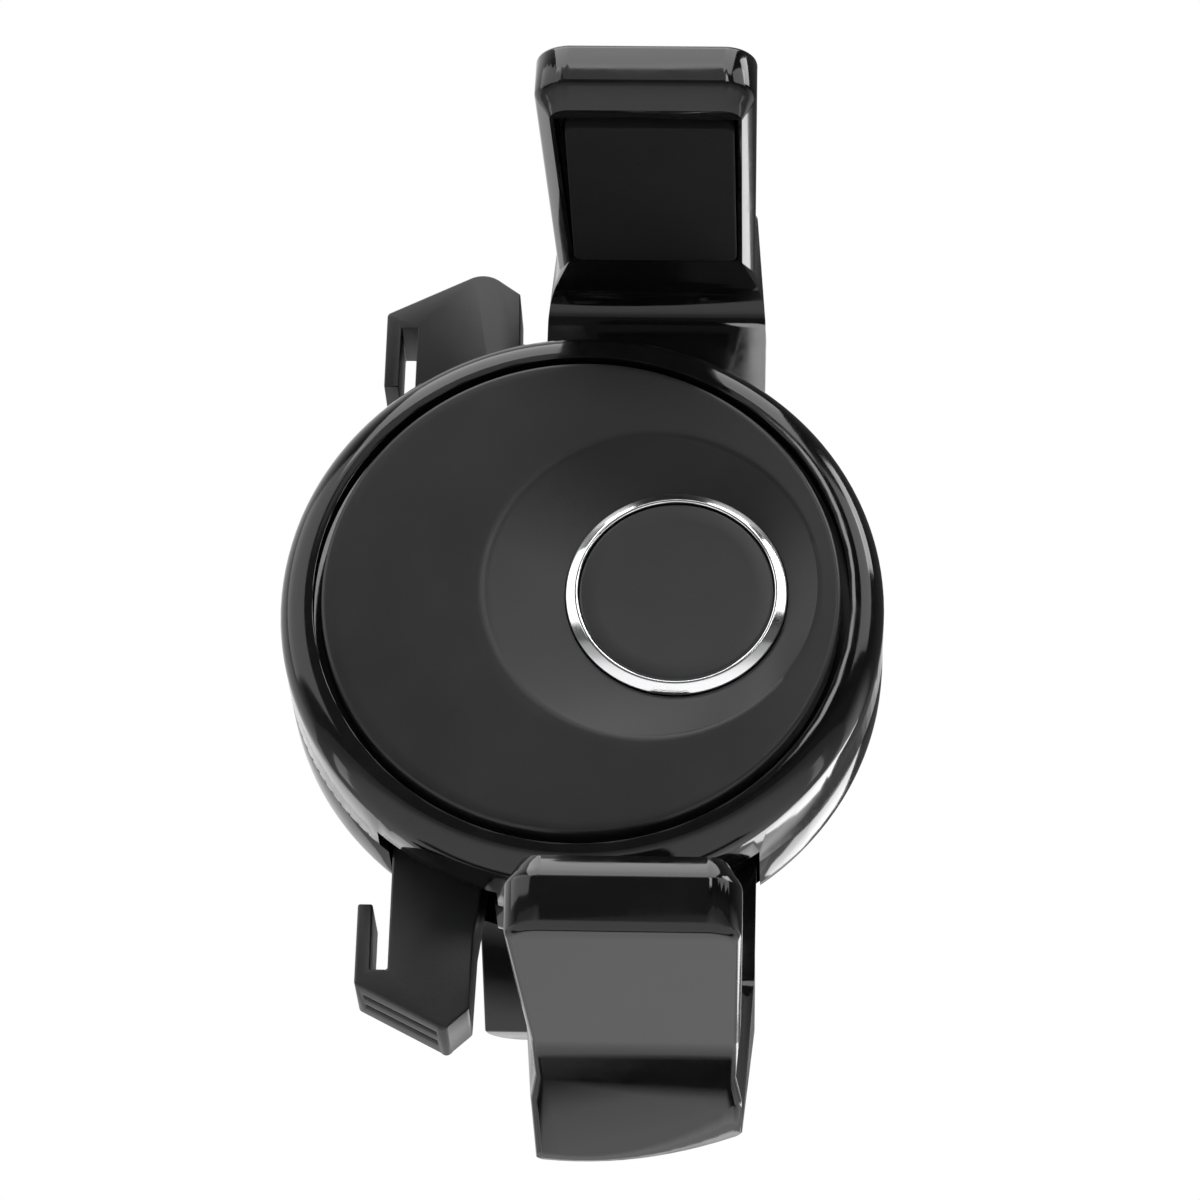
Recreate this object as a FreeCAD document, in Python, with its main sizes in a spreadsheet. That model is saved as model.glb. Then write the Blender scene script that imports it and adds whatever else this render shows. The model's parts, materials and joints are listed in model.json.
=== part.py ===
import FreeCAD, Part
import math
import os
import Sketcher
from FreeCAD import Placement, Rotation, Vector

# Air vent phone holder: a round body with two sliding clamp arms, two release tabs,
# a sprung front button and a vent clip on a ball joint.
# Frame: X to the right, Y away from the phone, Z up. The origin is the centre of the
# face plate's front surface. Millimetres.

DRIVING_SIZES = {
    # round body
    "plate_thickness": 2.4,
    "plate_groove": 0.8,
    "plate_bevel": 0.35,
    "rim_radius": 28.0,
    "rim_width": 3.2,
    "rim_setback": 0.5,
    "rim_round": 3.0,
    "housing_wall": 1.6,
    "front_floor_thickness": 1.6,
    "joint_line": 10.0,
    "back_floor": 18.0,
    "back_floor_thickness": 1.6,
    "back_round": 4.6,
    # dish and button in the face plate
    "dish_centre_across": 6.3,
    "dish_centre_up": 1.0,
    "dish_margin": 2.1,
    "dish_depth": 1.4,
    "button_across": 8.8,
    "button_up": 0.6,
    "button_radius": 9.05,
    "button_setback": 0.7,
    "button_crown": 0.25,
    "button_flange_setback": 1.3,
    "button_flange_thickness": 0.9,
    "button_travel": 2.0,
    "trim_width": 1.2,
    "trim_setback": 0.5,
    "trim_bevel": 0.6,
    "button_clearance": 0.3,
    "stem_radius": 2.4,
    "stem_hold": 2.2,
    "stem_fit": 0.05,
    "stem_boss_wall": 1.2,
    "stem_boss_gap": 0.1,
    # chassis plate between button and arms
    "chassis_thickness": 1.4,
    "chassis_ledge": 0.5,
    # arms
    "arm_across": 6.0,
    "arm_root_width": 21.0,
    "arm_waist_width": 19.2,
    "arm_tip_width": 19.0,
    "arm_closing": 5.0,
    "arm_opening": 8.0,
    "arm_block_clearance": 9.4,
    "arm_step": 5.4,
    "arm_lean": 0.2,
    "arm_front": 26.5,
    "arm_tip_thickness": 5.8,
    "arm_flare_depth": 3.0,
    "arm_flare_thickness": 6.8,
    "arm_flare_round": 9.0,
    "arm_root_thickness": 13.0,
    "arm_heel_radius": 48.7,
    "arm_back": 18.6,
    "arm_back_step": 2.2,
    "arm_bar_step": 0.4,
    "arm_tip_round": 3.0,
    "arm_side_round": 0.8,
    "arm_root_round": 3.0,
    "arm_inner_bevel": 1.3,
    "tongue_front": 10.4,
    "skin_thickness": 1.1,
    "skin_overlap": 8.0,
    "slide_gap": 0.3,
    "rack_hold": 3.6,
    "pad_width": 15.5,
    "pad_bottom": 0.2,
    "pad_top": 23.6,
    "pad_recess": 1.0,
    "pad_proud": 0.2,
    "pad_clearance": 0.1,
    # pinion and racks
    "tooth_module": 0.75,
    "tooth_count": 12,
    "rack_addendum": 0.5,
    "rack_dedendum": 0.95,
    "tooth_backlash": 0.14,
    "pinion_pin_radius": 1.5,
    "pinion_fit": 0.05,
    "ratchet_pitch": 1.5,
    "ratchet_depth": 0.6,
    # release tabs and latch
    "tab_arm_gap": 3.2,
    "tab_width": 9.4,
    "tab_head_overhang": 3.0,
    "tab_low_corner": 34.7,
    "tab_peak_inset": 3.2,
    "tab_peak_up": 39.4,
    "tab_shoulder": 2.4,
    "tab_head_edge": 1.5,
    "tab_hook_end": 26.8,
    "tab_hook_width": 1.4,
    "tab_corner_round": 2.2,
    "tab_travel": 4.0,
    "tab_rib_pitch": 2.3,
    "tab_rib_groove": 0.7,
    "latch_nose_gap": 0.2,
    "latch_nose_half": 2.2,
    "latch_nose_length": 1.7,
    "latch_width": 4.3,
    "latch_wedge_low": 6.5,
    "latch_wedge_high": 11.5,
    "latch_wedge_slope": 0.4,
    "latch_spring_length": 3.4,
    # springs
    "spring_wire": 0.55,
    "button_spring_radius": 4.5,
    "arm_spring_radius": 1.15,
    "arm_spring_low": -12.0,
    "arm_lug_up": 5.0,
    "arm_lug_length": 3.2,
    "tab_spring_radius": 1.25,
    "tab_spring_side_gap": 0.2,
    "spring_post_half": 1.5,
    # screws
    "screw_inset": 1.7,
    "screw_angle": 16.0,
    "screw_radius": 0.9,
    "screw_head_radius": 1.6,
    "screw_head_height": 1.0,
    "screw_boss_radius": 1.9,
    "screw_start": 1.2,
    # ball joint
    "ball_standoff": 7.6,
    "ball_radius": 7.0,
    "liner_gap": 0.08,
    "liner_thickness": 1.3,
    "socket_gap": 0.1,
    "cup_edge_angle": 62.0,
    "ring_front_angle": 95.0,
    "ring_back_angle": 121.0,
    "nut_mouth_angle": 128.0,
    "socket_radius": 10.4,
    "socket_short": 0.2,
    "socket_slot": 1.0,
    "nut_wall": 2.72,
    "nut_stand": 1.0,
    "nut_cover": 5.6,
    "nut_fit": 0.08,
    "nut_grip_count": 12,
    "nut_grip_radius": 1.3,
    # vent clip, measured back from the ball centre along its own axis
    "clip_droop": 25.0,
    "neck_radius": 2.8,
    "clip_width": 22.0,
    "clip_start": 15.0,
    "clip_end": 41.0,
    "clip_half_height": 6.2,
    "clip_corner_round": 4.0,
    "jaw_thickness": 2.4,
    "blade_gap": 1.8,
    "jaw_pad_thickness": 1.0,
    "jaw_pad_margin": 1.5,
    "jaw_front": 27.0,
    "pivot_back": 22.0,
    "pivot_up": -1.4,
    "clip_pin_radius": 1.0,
    "clip_pin_fit": 0.06,
    "ear_radius": 2.3,
    "ear_width": 2.6,
    "ear_inner": 5.0,
    "lever_start": 16.5,
    "clip_spring_radius": 1.9,
}

document = FreeCAD.newDocument("vent_phone_holder")
sheet = document.addObject("Spreadsheet::Sheet", "sizes")
for row, (alias, number) in enumerate(DRIVING_SIZES.items(), start=1):
    sheet.set("A%d" % row, alias)
    sheet.set("B%d" % row, str(number))
    sheet.setAlias("B%d" % row, alias)
document.recompute()


class Size:
    """A length together with the spreadsheet expression that gives it."""

    def __init__(self, value, text):
        self.value = value
        self.text = text

    def joined(self, sign, other, value):
        return Size(value, "(%s %s %s)" % (self.text, sign, other.text))

    def __add__(self, other):
        other = as_size(other)
        return self.joined("+", other, self.value + other.value)

    def __sub__(self, other):
        other = as_size(other)
        return self.joined("-", other, self.value - other.value)

    def __mul__(self, other):
        other = as_size(other)
        return self.joined("*", other, self.value * other.value)

    def __truediv__(self, other):
        other = as_size(other)
        return self.joined("/", other, self.value / other.value)

    def __radd__(self, other):
        return as_size(other) + self

    def __rsub__(self, other):
        return as_size(other) - self

    def __rmul__(self, other):
        return as_size(other) * self

    def __neg__(self):
        return as_size(0.0) - self


def as_size(number):
    return number if isinstance(number, Size) else Size(float(number), repr(float(number)))


class SheetSizes:
    """Gives each cell of the sheet as a Size, by its alias."""

    def __getattr__(self, alias):
        return Size(float(getattr(sheet, alias)), "sizes." + alias)


cell = SheetSizes()
sub_parts = []


def bind(feature, path, size):
    feature.setExpression(path, as_size(size).text)


def new_body(label):
    body = document.addObject("PartDesign::Body", label)
    body.Label = label
    sub_parts.append(body)
    return body


def new_solid(label, shape, placement=None):
    piece = document.addObject("Part::Feature", label)
    piece.Label = label
    piece.Shape = shape
    if placement is not None:
        piece.Placement = placement.multiply(shape.Placement)
    sub_parts.append(piece)
    return piece


def outline(body, role, loops, offset=0.0):
    """A sketch of closed loops on an origin plane, every corner tied to the sheet."""
    sketch = body.newObject("Sketcher::SketchObject", "Sketch")
    plane = next(item for item in body.Origin.OriginFeatures if item.Role == role)
    sketch.AttachmentSupport = [(plane, "")]
    sketch.MapMode = "FlatFace"
    sketch.AttachmentOffset = Placement(Vector(0, 0, as_size(offset).value), Rotation())
    bind(sketch, "AttachmentOffset.Base.z", offset)
    for corners in loops:
        corners = [(as_size(u), as_size(v)) for u, v in corners]
        first = sketch.GeometryCount
        count = len(corners)
        points = [Vector(u.value, v.value, 0) for u, v in corners]
        for index in range(count):
            sketch.addGeometry(Part.LineSegment(points[index], points[(index + 1) % count]))
        for index in range(count):
            following = first + (index + 1) % count
            sketch.addConstraint(Sketcher.Constraint("Coincident", first + index, 2, following, 1))
        for index, (u, v) in enumerate(corners):
            hold_corner(sketch, first + index, "DistanceX", -2, u)
            hold_corner(sketch, first + index, "DistanceY", -1, v)
    return sketch


def hold_corner(sketch, line, kind, axis, size):
    if abs(size.value) < 1e-9:
        sketch.addConstraint(Sketcher.Constraint("PointOnObject", line, 1, axis))
        return
    number = sketch.addConstraint(Sketcher.Constraint(kind, -1, 1, line, 1, size.value))
    sketch.setExpression("Constraints[%d]" % number, size.text)


def revolve(body, corners, cut=False):
    """Turns a half profile of (radius, depth) corners about the Y axis."""
    sketch = outline(body, "XY_Plane", [corners])
    kind = "PartDesign::Groove" if cut else "PartDesign::Revolution"
    feature = body.newObject(kind, "Turned")
    feature.Profile = sketch
    feature.ReferenceAxis = (sketch, ["V_Axis"])
    feature.Angle = 360
    sketch.Visibility = False
    document.recompute()
    return feature


def extrude(body, role, loops, length, start=0.0, midplane=False, cut=False):
    """Pads or pockets loops. From the XZ plane it always runs towards +Y."""
    towards_back = role == "XZ_Plane"
    offset = -as_size(start) if towards_back else as_size(start)
    sketch = outline(body, role, loops, offset)
    feature = body.newObject("PartDesign::Pocket" if cut else "PartDesign::Pad", "Extruded")
    feature.Profile = sketch
    bind(feature, "Length", length)
    feature.Midplane = midplane
    if not midplane:
        feature.Reversed = towards_back != cut
    sketch.Visibility = False
    document.recompute()
    return feature


def block(body, low, high, cut=False):
    """A box between two corners, added to the body or cut from it."""
    kind = "PartDesign::SubtractiveBox" if cut else "PartDesign::AdditiveBox"
    feature = body.newObject(kind, "Block")
    for path, a, b in zip(("Length", "Width", "Height"), low, high):
        bind(feature, path, as_size(b) - a)
    for axis, a in zip("xyz", low):
        bind(feature, "Placement.Base." + axis, a)
    document.recompute()
    return feature


def rod(body, radius, across, up, start, end, cut=False):
    """A cylinder along Y, added to the body or cut from it."""
    kind = "PartDesign::SubtractiveCylinder" if cut else "PartDesign::AdditiveCylinder"
    feature = body.newObject(kind, "Rod")
    feature.Placement = Placement(Vector(), Rotation(Vector(1, 0, 0), -90))
    bind(feature, "Radius", radius)
    bind(feature, "Height", as_size(end) - start)
    for axis, a in zip("xyz", (across, start, up)):
        bind(feature, "Placement.Base." + axis, a)
    document.recompute()
    return feature


def dress(body, kind, size, chosen):
    """Rounds or bevels the edges of the body that the test picks."""
    document.recompute()
    base = body.Tip
    names = ["Edge%d" % (i + 1) for i, edge in enumerate(base.Shape.Edges) if chosen(edge)]
    if not names:
        raise RuntimeError("no edge to dress on " + body.Label)
    feature = body.newObject("PartDesign::" + kind, kind)
    feature.Base = (base, names)
    bind(feature, "Radius" if kind == "Fillet" else "Size", size)
    document.recompute()
    return feature


def is_ring(edge, radius, depth):
    """True for a full or part circle about the Y direction at that depth."""
    curve = edge.Curve
    if not isinstance(curve, Part.Circle):
        return False
    return abs(curve.Radius - radius.value) < 0.01 and abs(curve.Center.y - as_size(depth).value) < 0.01


def middle(edge):
    return edge.valueAt((edge.FirstParameter + edge.LastParameter) / 2)


def near(value, size, slack=0.02):
    return abs(value - as_size(size).value) < slack


# Depths that several pieces share
plate_radius = cell.rim_radius - cell.rim_width - cell.plate_groove
dish_radius = plate_radius - cell.dish_centre_across - cell.dish_margin
front_floor_back = cell.plate_thickness + cell.front_floor_thickness
chassis_front = cell.joint_line - cell.chassis_thickness
chassis_radius = cell.rim_radius - cell.housing_wall + cell.chassis_ledge
housing_inner_radius = cell.rim_radius - cell.housing_wall
back_face = cell.back_floor + cell.back_floor_thickness
bar_front = cell.tongue_front + cell.skin_thickness + cell.slide_gap
bar_back = cell.back_floor - cell.slide_gap
arm_left = cell.arm_across - cell.arm_root_width / 2
arm_right = cell.arm_across + cell.arm_root_width / 2
trim_radius = cell.button_radius + cell.trim_width
button_hole_radius = trim_radius + cell.button_clearance
flange_front = cell.button_setback + cell.button_flange_setback
flange_back = flange_front + cell.button_flange_thickness
stem_boss_front = flange_back + cell.button_travel + cell.stem_boss_gap
stem_end = stem_boss_front + cell.stem_hold
pitch_radius = cell.tooth_module * cell.tooth_count / 2
rack_root = cell.arm_across + pitch_radius + cell.rack_dedendum
rack_end = cell.arm_opening + cell.rack_hold
arm_block_start = rack_end + 2 * cell.arm_closing + cell.arm_block_clearance
arm_reach = arm_block_start + cell.arm_step
arm_waist_depth = cell.tongue_front - cell.arm_root_round
skin_end = cell.rim_radius - cell.arm_opening - cell.skin_overlap
tab_right = arm_left - cell.tab_arm_gap
tab_left = tab_right - cell.tab_width
tab_head_left = tab_left - cell.tab_head_overhang
tab_peak_across = tab_right - cell.tab_peak_inset
tab_inner_end = cell.latch_wedge_high + cell.tab_travel + 0.5
latch_face = arm_left - cell.latch_nose_gap - cell.latch_nose_length
latch_left = latch_face - cell.latch_width
ball_centre = back_face + cell.ball_standoff
socket_end = ball_centre - cell.socket_short
nut_radius = cell.socket_radius + cell.nut_fit + cell.nut_wall
nut_start = back_face + cell.nut_stand
nut_end = ball_centre + cell.nut_cover
far = 2 * cell.rim_radius

screw_ring = housing_inner_radius - cell.screw_boss_radius - cell.screw_inset
screw_places = []
for sign_across in (-1, 1):
    for sign_up in (-1, 1):
        turn = math.radians(cell.screw_angle.value)
        cosine = "cos(sizes.screw_angle * 1deg)"
        sine = "sin(sizes.screw_angle * 1deg)"
        across = sign_across * screw_ring * Size(math.cos(turn), cosine)
        up = sign_up * screw_ring * Size(math.sin(turn), sine)
        screw_places.append((across, up))


def make_face_plate():
    """Round plate that the phone lies on, with an eccentric dish around the button."""
    body = new_body("face_plate")
    revolve(body, [
        (0, 0), (plate_radius, 0),
        (plate_radius, cell.plate_thickness), (0, cell.plate_thickness)])
    dress(body, "Chamfer", cell.plate_bevel, lambda edge: is_ring(edge, plate_radius, 0))
    dish = body.newObject("PartDesign::SubtractiveLoft", "Dish")
    mouth = circle_sketch(body, dish_radius, cell.dish_centre_across, cell.dish_centre_up, 0)
    floor = circle_sketch(body, button_hole_radius, cell.button_across, cell.button_up, cell.dish_depth)
    dish.Profile = mouth
    dish.Sections = [floor]
    dish.Ruled = True
    document.recompute()
    rod(body, button_hole_radius, cell.button_across, cell.button_up,
        cell.dish_depth - 1, cell.plate_thickness + 1, cut=True)


def circle_sketch(body, radius, across, up, depth):
    sketch = body.newObject("Sketcher::SketchObject", "Ring")
    plane = next(item for item in body.Origin.OriginFeatures if item.Role == "XZ_Plane")
    sketch.AttachmentSupport = [(plane, "")]
    sketch.MapMode = "FlatFace"
    sketch.AttachmentOffset = Placement(Vector(0, 0, -as_size(depth).value), Rotation())
    bind(sketch, "AttachmentOffset.Base.z", -as_size(depth))
    centre = Vector(across.value, up.value, 0)
    sketch.addGeometry(Part.Circle(centre, Vector(0, 0, 1), radius.value))
    number = sketch.addConstraint(Sketcher.Constraint("Radius", 0, radius.value))
    sketch.setExpression("Constraints[%d]" % number, radius.text)
    for kind, size in (("DistanceX", across), ("DistanceY", up)):
        number = sketch.addConstraint(Sketcher.Constraint(kind, -1, 1, 0, 3, size.value))
        sketch.setExpression("Constraints[%d]" % number, size.text)
    sketch.Visibility = False
    return sketch


def make_front_housing():
    """Front shell: rounded rim, seat for the face plate and a skirt with cut-outs."""
    body = new_body("front_housing")
    seat = plate_radius + cell.plate_groove
    revolve(body, [
        (0, cell.plate_thickness), (seat, cell.plate_thickness), (seat, cell.rim_setback),
        (cell.rim_radius, cell.rim_setback), (cell.rim_radius, cell.joint_line),
        (chassis_radius, cell.joint_line), (chassis_radius, chassis_front),
        (housing_inner_radius, chassis_front), (housing_inner_radius, front_floor_back),
        (0, front_floor_back)])
    dress(body, "Fillet", cell.rim_round,
          lambda edge: is_ring(edge, cell.rim_radius, cell.rim_setback))
    rod(body, button_hole_radius, cell.button_across, cell.button_up,
        cell.plate_thickness - 1, front_floor_back + 1, cut=True)
    for across, up in screw_places:
        rod(body, cell.screw_boss_radius, across, up, front_floor_back, chassis_front)
    for across, up in screw_places:
        rod(body, cell.screw_radius, across, up, front_floor_back + cell.screw_start, chassis_front + 1, cut=True)
    # relief in the rim's shoulder behind which the upper arm runs
    block(body, (arm_left - 1.6, 1.6, plate_radius + 1.6),
          (arm_right - 3.4, cell.joint_line + 1, far), cut=True)
    # windows at the top and bottom edge in front of arms and tabs
    for side in (-1, 1):
        low = side * cell.rim_radius / 2
        high = side * far
        if side < 0:
            low, high = high, low
        block(body, (arm_left - cell.slide_gap, chassis_front - 1.0, low),
              (arm_right + cell.slide_gap, cell.joint_line + 1, high), cut=True)
        block(body, (tab_left - 1.2, chassis_front - 1.6, low),
              (tab_right + 0.6, cell.joint_line + 1, high), cut=True)


def make_chassis_plate():
    """Inner plate between the shells, with the guide boss for the button's stem."""
    body = new_body("chassis_plate")
    radius = chassis_radius - 0.1
    revolve(body, [
        (0, chassis_front), (radius, chassis_front),
        (radius, cell.joint_line), (0, cell.joint_line)])
    bore = cell.stem_radius + cell.stem_fit
    rod(body, bore + cell.stem_boss_wall, cell.button_across, cell.button_up,
        stem_boss_front, cell.joint_line)
    rod(body, bore, cell.button_across, cell.button_up,
        stem_boss_front - 1, cell.joint_line + 1, cut=True)
    for across, up in screw_places:
        rod(body, cell.screw_radius + 0.2, across, up, chassis_front - 1, cell.joint_line + 1, cut=True)


def make_button():
    """Sprung front button: crowned cap with a flange and a guided stem, and its bright trim."""
    body = new_body("button_cap")
    flange = trim_radius - 0.1
    revolve(body, [
        (0, cell.button_setback), (cell.button_radius, cell.button_setback),
        (cell.button_radius, flange_front), (flange, flange_front), (flange, flange_back),
        (cell.stem_radius, flange_back), (cell.stem_radius, stem_end), (0, stem_end)])
    dress(body, "Fillet", cell.button_crown,
          lambda edge: is_ring(edge, cell.button_radius, cell.button_setback))
    move_to_button(body)
    trim = new_body("button_trim")
    inner = cell.button_radius + 0.05
    revolve(trim, [
        (inner, flange_front), (inner, cell.trim_setback), (inner + 0.3, cell.trim_setback),
        (trim_radius, cell.trim_setback + cell.trim_bevel), (trim_radius, flange_front)])
    move_to_button(trim)
    spring = coil(cell.button_spring_radius, cell.spring_wire, flange_back, chassis_front, 2.5)
    new_solid("button_spring", spring, button_place())


def button_place():
    return Placement(Vector(cell.button_across.value, 0, cell.button_up.value), Rotation())


def move_to_button(body):
    bind(body, "Placement.Base.x", cell.button_across)
    bind(body, "Placement.Base.z", cell.button_up)
    document.recompute()


def coil(radius, wire, start, end, turns):
    """Compression spring about the Y axis between two depths, with a gap for its seats."""
    seat = 0.05
    span = (end - start).value - 2 * seat - wire.value
    helix = Part.makeHelix(span / turns, span, radius.value)
    corners = [math.radians(60 * corner) for corner in range(7)]
    section = Part.makePolygon([
        Vector(radius.value + wire.value / 2 * math.cos(turn), 0, wire.value / 2 * math.sin(turn))
        for turn in corners])
    spring = Part.Wire(helix).makePipeShell([section], True, True)
    spring.rotate(Vector(), Vector(1, 0, 0), -90)
    spring.translate(Vector(0, start.value + seat + wire.value / 2, 0))
    return spring


def make_back_housing():
    """Back shell with windows for arms and tabs, screw bosses and the ball socket."""
    body = new_body("back_housing")
    revolve(body, [
        (0, cell.back_floor), (housing_inner_radius, cell.back_floor),
        (housing_inner_radius, cell.joint_line), (cell.rim_radius, cell.joint_line),
        (cell.rim_radius, back_face), (0, back_face)])
    inner_round = cell.back_round - cell.housing_wall
    dress(body, "Fillet", inner_round,
          lambda edge: is_ring(edge, housing_inner_radius, cell.back_floor))
    dress(body, "Fillet", cell.back_round,
          lambda edge: is_ring(edge, cell.rim_radius, back_face))
    for across, up in screw_places:
        rod(body, cell.screw_boss_radius, across, up, cell.joint_line, cell.back_floor)
    for across, up in screw_places:
        rod(body, cell.screw_radius, across, up, cell.joint_line - 1, back_face + 1, cut=True)
    for across, up in screw_places:
        rod(body, cell.screw_head_radius, across, up, back_face - cell.screw_head_height,
            back_face + 1, cut=True)
    gap = cell.slide_gap
    block(body, (arm_left - gap, cell.joint_line - 1, -far),
          (arm_right + gap, cell.back_floor, far), cut=True)
    block(body, (tab_left - gap, cell.joint_line - 1, -far),
          (tab_right + gap, cell.back_floor, far), cut=True)
    # post that the tab springs and the latch spring push against
    half = cell.spring_post_half
    block(body, (tab_left, bar_front, -half), (latch_left - cell.latch_spring_length, cell.back_floor + 0.5, half))
    # post under the arm spring
    block(body, (arm_right + 0.5, bar_front, cell.arm_spring_low - 1.6),
          (arm_right + 0.5 + cell.arm_lug_length, cell.back_floor + 0.5, cell.arm_spring_low))
    rod(body, cell.pinion_pin_radius, cell.arm_across, 0, cell.back_floor - 1,
        cell.back_floor + 1, cut=True)
    # socket tube for the ball, split by four slots
    rod(body, cell.socket_radius, 0, 0, back_face - 0.5, socket_end)
    cavity = body.newObject("PartDesign::SubtractiveSphere", "Cavity")
    bind(cavity, "Radius", liner_outer() + cell.socket_gap)
    bind(cavity, "Placement.Base.y", ball_centre)
    document.recompute()
    half = cell.socket_slot / 2
    block(body, (-far / 4, back_face + 2.5, -half), (far / 4, socket_end + 1, half), cut=True)
    block(body, (-half, back_face + 2.5, -far / 4), (half, socket_end + 1, far / 4), cut=True)


def liner_outer():
    return cell.ball_radius + cell.liner_gap + cell.liner_thickness


def sphere_zone(inner, outer, front_angle, back_angle):
    """Shell zone about the ball centre, between two angles from the forward direction."""
    def at(radius, angle):
        turn = math.radians(angle)
        return Vector(radius * math.sin(turn), ball_centre.value - radius * math.cos(turn), 0)

    half_way = (front_angle + back_angle) / 2
    edges = [
        Part.Arc(at(outer, front_angle), at(outer, half_way), at(outer, back_angle)).toShape(),
        Part.LineSegment(at(outer, back_angle), at(inner, back_angle)).toShape(),
        Part.Arc(at(inner, back_angle), at(inner, half_way), at(inner, front_angle)).toShape(),
        Part.LineSegment(at(inner, front_angle), at(outer, front_angle)).toShape()]
    face = Part.Face(Part.Wire(edges))
    return face.revolve(Vector(), Vector(0, 1, 0), 360)


def make_ball_liners():
    """Two smooth plastic liners that the ball turns in: a front cup and a rear ring."""
    inner = (cell.ball_radius + cell.liner_gap).value
    outer = liner_outer().value
    new_solid("ball_liner_cup", sphere_zone(inner, outer, 12.0, cell.cup_edge_angle.value))
    new_solid("ball_liner_ring",
              sphere_zone(inner, outer, cell.ring_front_angle.value, cell.ring_back_angle.value))


def make_lock_nut():
    """Scalloped nut that closes the socket around the ball."""
    body = new_body("lock_nut")
    bore = cell.socket_radius + cell.nut_fit
    seat = liner_outer() + cell.socket_gap
    mouth_turn = math.radians(cell.nut_mouth_angle.value)
    mouth = seat * Size(math.sin(mouth_turn), "sin(sizes.nut_mouth_angle * 1deg)")
    revolve(body, [
        (mouth, socket_end + 0.4), (bore, socket_end + 0.4), (bore, nut_start),
        (nut_radius, nut_start), (nut_radius, nut_end), (mouth, nut_end)])
    cavity = body.newObject("PartDesign::SubtractiveSphere", "Cavity")
    bind(cavity, "Radius", seat)
    bind(cavity, "Placement.Base.y", ball_centre)
    document.recompute()
    dress(body, "Fillet", 0.9, lambda edge: is_ring(edge, nut_radius, nut_end))
    dress(body, "Chamfer", 0.5, lambda edge: is_ring(edge, nut_radius, nut_start))
    scallop = rod(body, cell.nut_grip_radius, nut_radius + 0.6, 0,
                  nut_start - 1, nut_end + 1, cut=True)
    ring = body.newObject("PartDesign::PolarPattern", "Grip")
    ring.Originals = [scallop]
    axis = next(item for item in body.Origin.OriginFeatures if item.Role == "Y_Axis")
    ring.Axis = (axis, [""])
    ring.Angle = 360
    bind(ring, "Occurrences", cell.nut_grip_count)
    body.Tip = ring
    document.recompute()


def inner_face(depth):
    """Height of the arm's inner face at a depth, for the upper arm."""
    run = cell.tongue_front + cell.arm_front
    return arm_reach + cell.arm_lean * (cell.tongue_front - depth) / run


def make_arm(label, turned):
    """Clamp arm: gripping wall with a pad tray, flared heel, thin skin and toothed bar.

    The lower arm is drawn as the upper one and turned half round about the pinion. Only
    its heel differs: both heels follow one circle about the disc's centre.
    """
    body = new_body(label)
    across = cell.arm_across
    tip_inner = arm_reach + cell.arm_lean
    tip_outer = tip_inner + cell.arm_tip_thickness
    heel = arm_reach + cell.arm_root_thickness
    extrude(body, "YZ_Plane", [[
        (cell.tongue_front, arm_block_start), (cell.tongue_front, arm_reach),
        (-cell.arm_front, tip_inner), (-cell.arm_front, tip_outer),
        (cell.arm_flare_depth, arm_reach + cell.arm_flare_thickness), (cell.arm_back, heel),
        (cell.arm_back, arm_reach + cell.arm_back_step), (bar_back, arm_reach - cell.arm_bar_step),
        (bar_back, arm_block_start)]],
        cell.arm_root_width, start=across, midplane=True)
    half_root = cell.arm_root_width / 2
    half_waist = cell.arm_waist_width / 2
    half_tip = cell.arm_tip_width / 2
    trims = []
    for side in (-1, 1):
        trims.append([
            (across + side * half_root, cell.tongue_front), (across + side * half_waist, arm_waist_depth),
            (across + side * half_tip, -cell.arm_front - 1),
            (across + side * (half_root + 1), -cell.arm_front - 1),
            (across + side * (half_root + 1), cell.tongue_front)])
    extrude(body, "XY_Plane", trims, 4 * arm_reach, midplane=True, cut=True)
    dress(body, "Fillet", cell.arm_tip_round, lambda edge: runs_up(edge)
          and near(middle(edge).y, -cell.arm_front))
    dress(body, "Fillet", cell.arm_flare_round, lambda edge: runs_across(edge)
          and near(middle(edge).y, cell.arm_flare_depth, 0.3) and middle(edge).z > tip_outer.value)
    dress(body, "Fillet", cell.arm_root_round, lambda edge: runs_across(edge)
          and near(middle(edge).y, cell.tongue_front) and near(middle(edge).z, arm_reach))
    dress(body, "Chamfer", cell.arm_inner_bevel, on_inner_rim)
    dress(body, "Fillet", cell.arm_side_round, on_outer_rim)
    cut_heel(body, 2 * across if turned else as_size(0))
    tray = tray_outline(cell.pad_recess, cell.pad_clearance, -2.0)
    extrude(body, "YZ_Plane", [tray], cell.pad_width + 2 * cell.pad_clearance,
            start=across, midplane=True, cut=True)
    # thin front skin that keeps the window shut while the arm is out
    block(body, (arm_left, cell.tongue_front, skin_end),
          (arm_right, cell.tongue_front + cell.skin_thickness, arm_block_start + 1))
    # bar on the pinion's right with the gear rack on its inner edge
    block(body, (rack_root, bar_front, -rack_end), (arm_right, bar_back, arm_block_start + 1))
    block(body, (rack_root, cell.tongue_front, skin_end),
          (arm_right, bar_front + 0.5, arm_block_start + 1))
    add_rack(body)
    add_ratchet(body)
    if not turned:
        # lug that the opening spring pushes on
        block(body, (arm_right - 0.5, bar_front, cell.arm_lug_up),
              (arm_right + cell.arm_lug_length, bar_back, cell.arm_lug_up + 1.6))
    if turned:
        body.Placement = half_turn()
        bind(body, "Placement.Base.x", 2 * across)
    document.recompute()
    pad = new_body(label + "_pad")
    extrude(pad, "YZ_Plane", [tray_outline(cell.pad_recess, 0.0, -cell.pad_proud)],
            cell.pad_width, start=across, midplane=True)
    dress(pad, "Fillet", 0.6, lambda edge: not runs_across(edge) and abs(edge.tangentAt(edge.FirstParameter).y) < 0.2)
    if turned:
        pad.Placement = half_turn()
        bind(pad, "Placement.Base.x", 2 * across)
    document.recompute()


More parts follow.
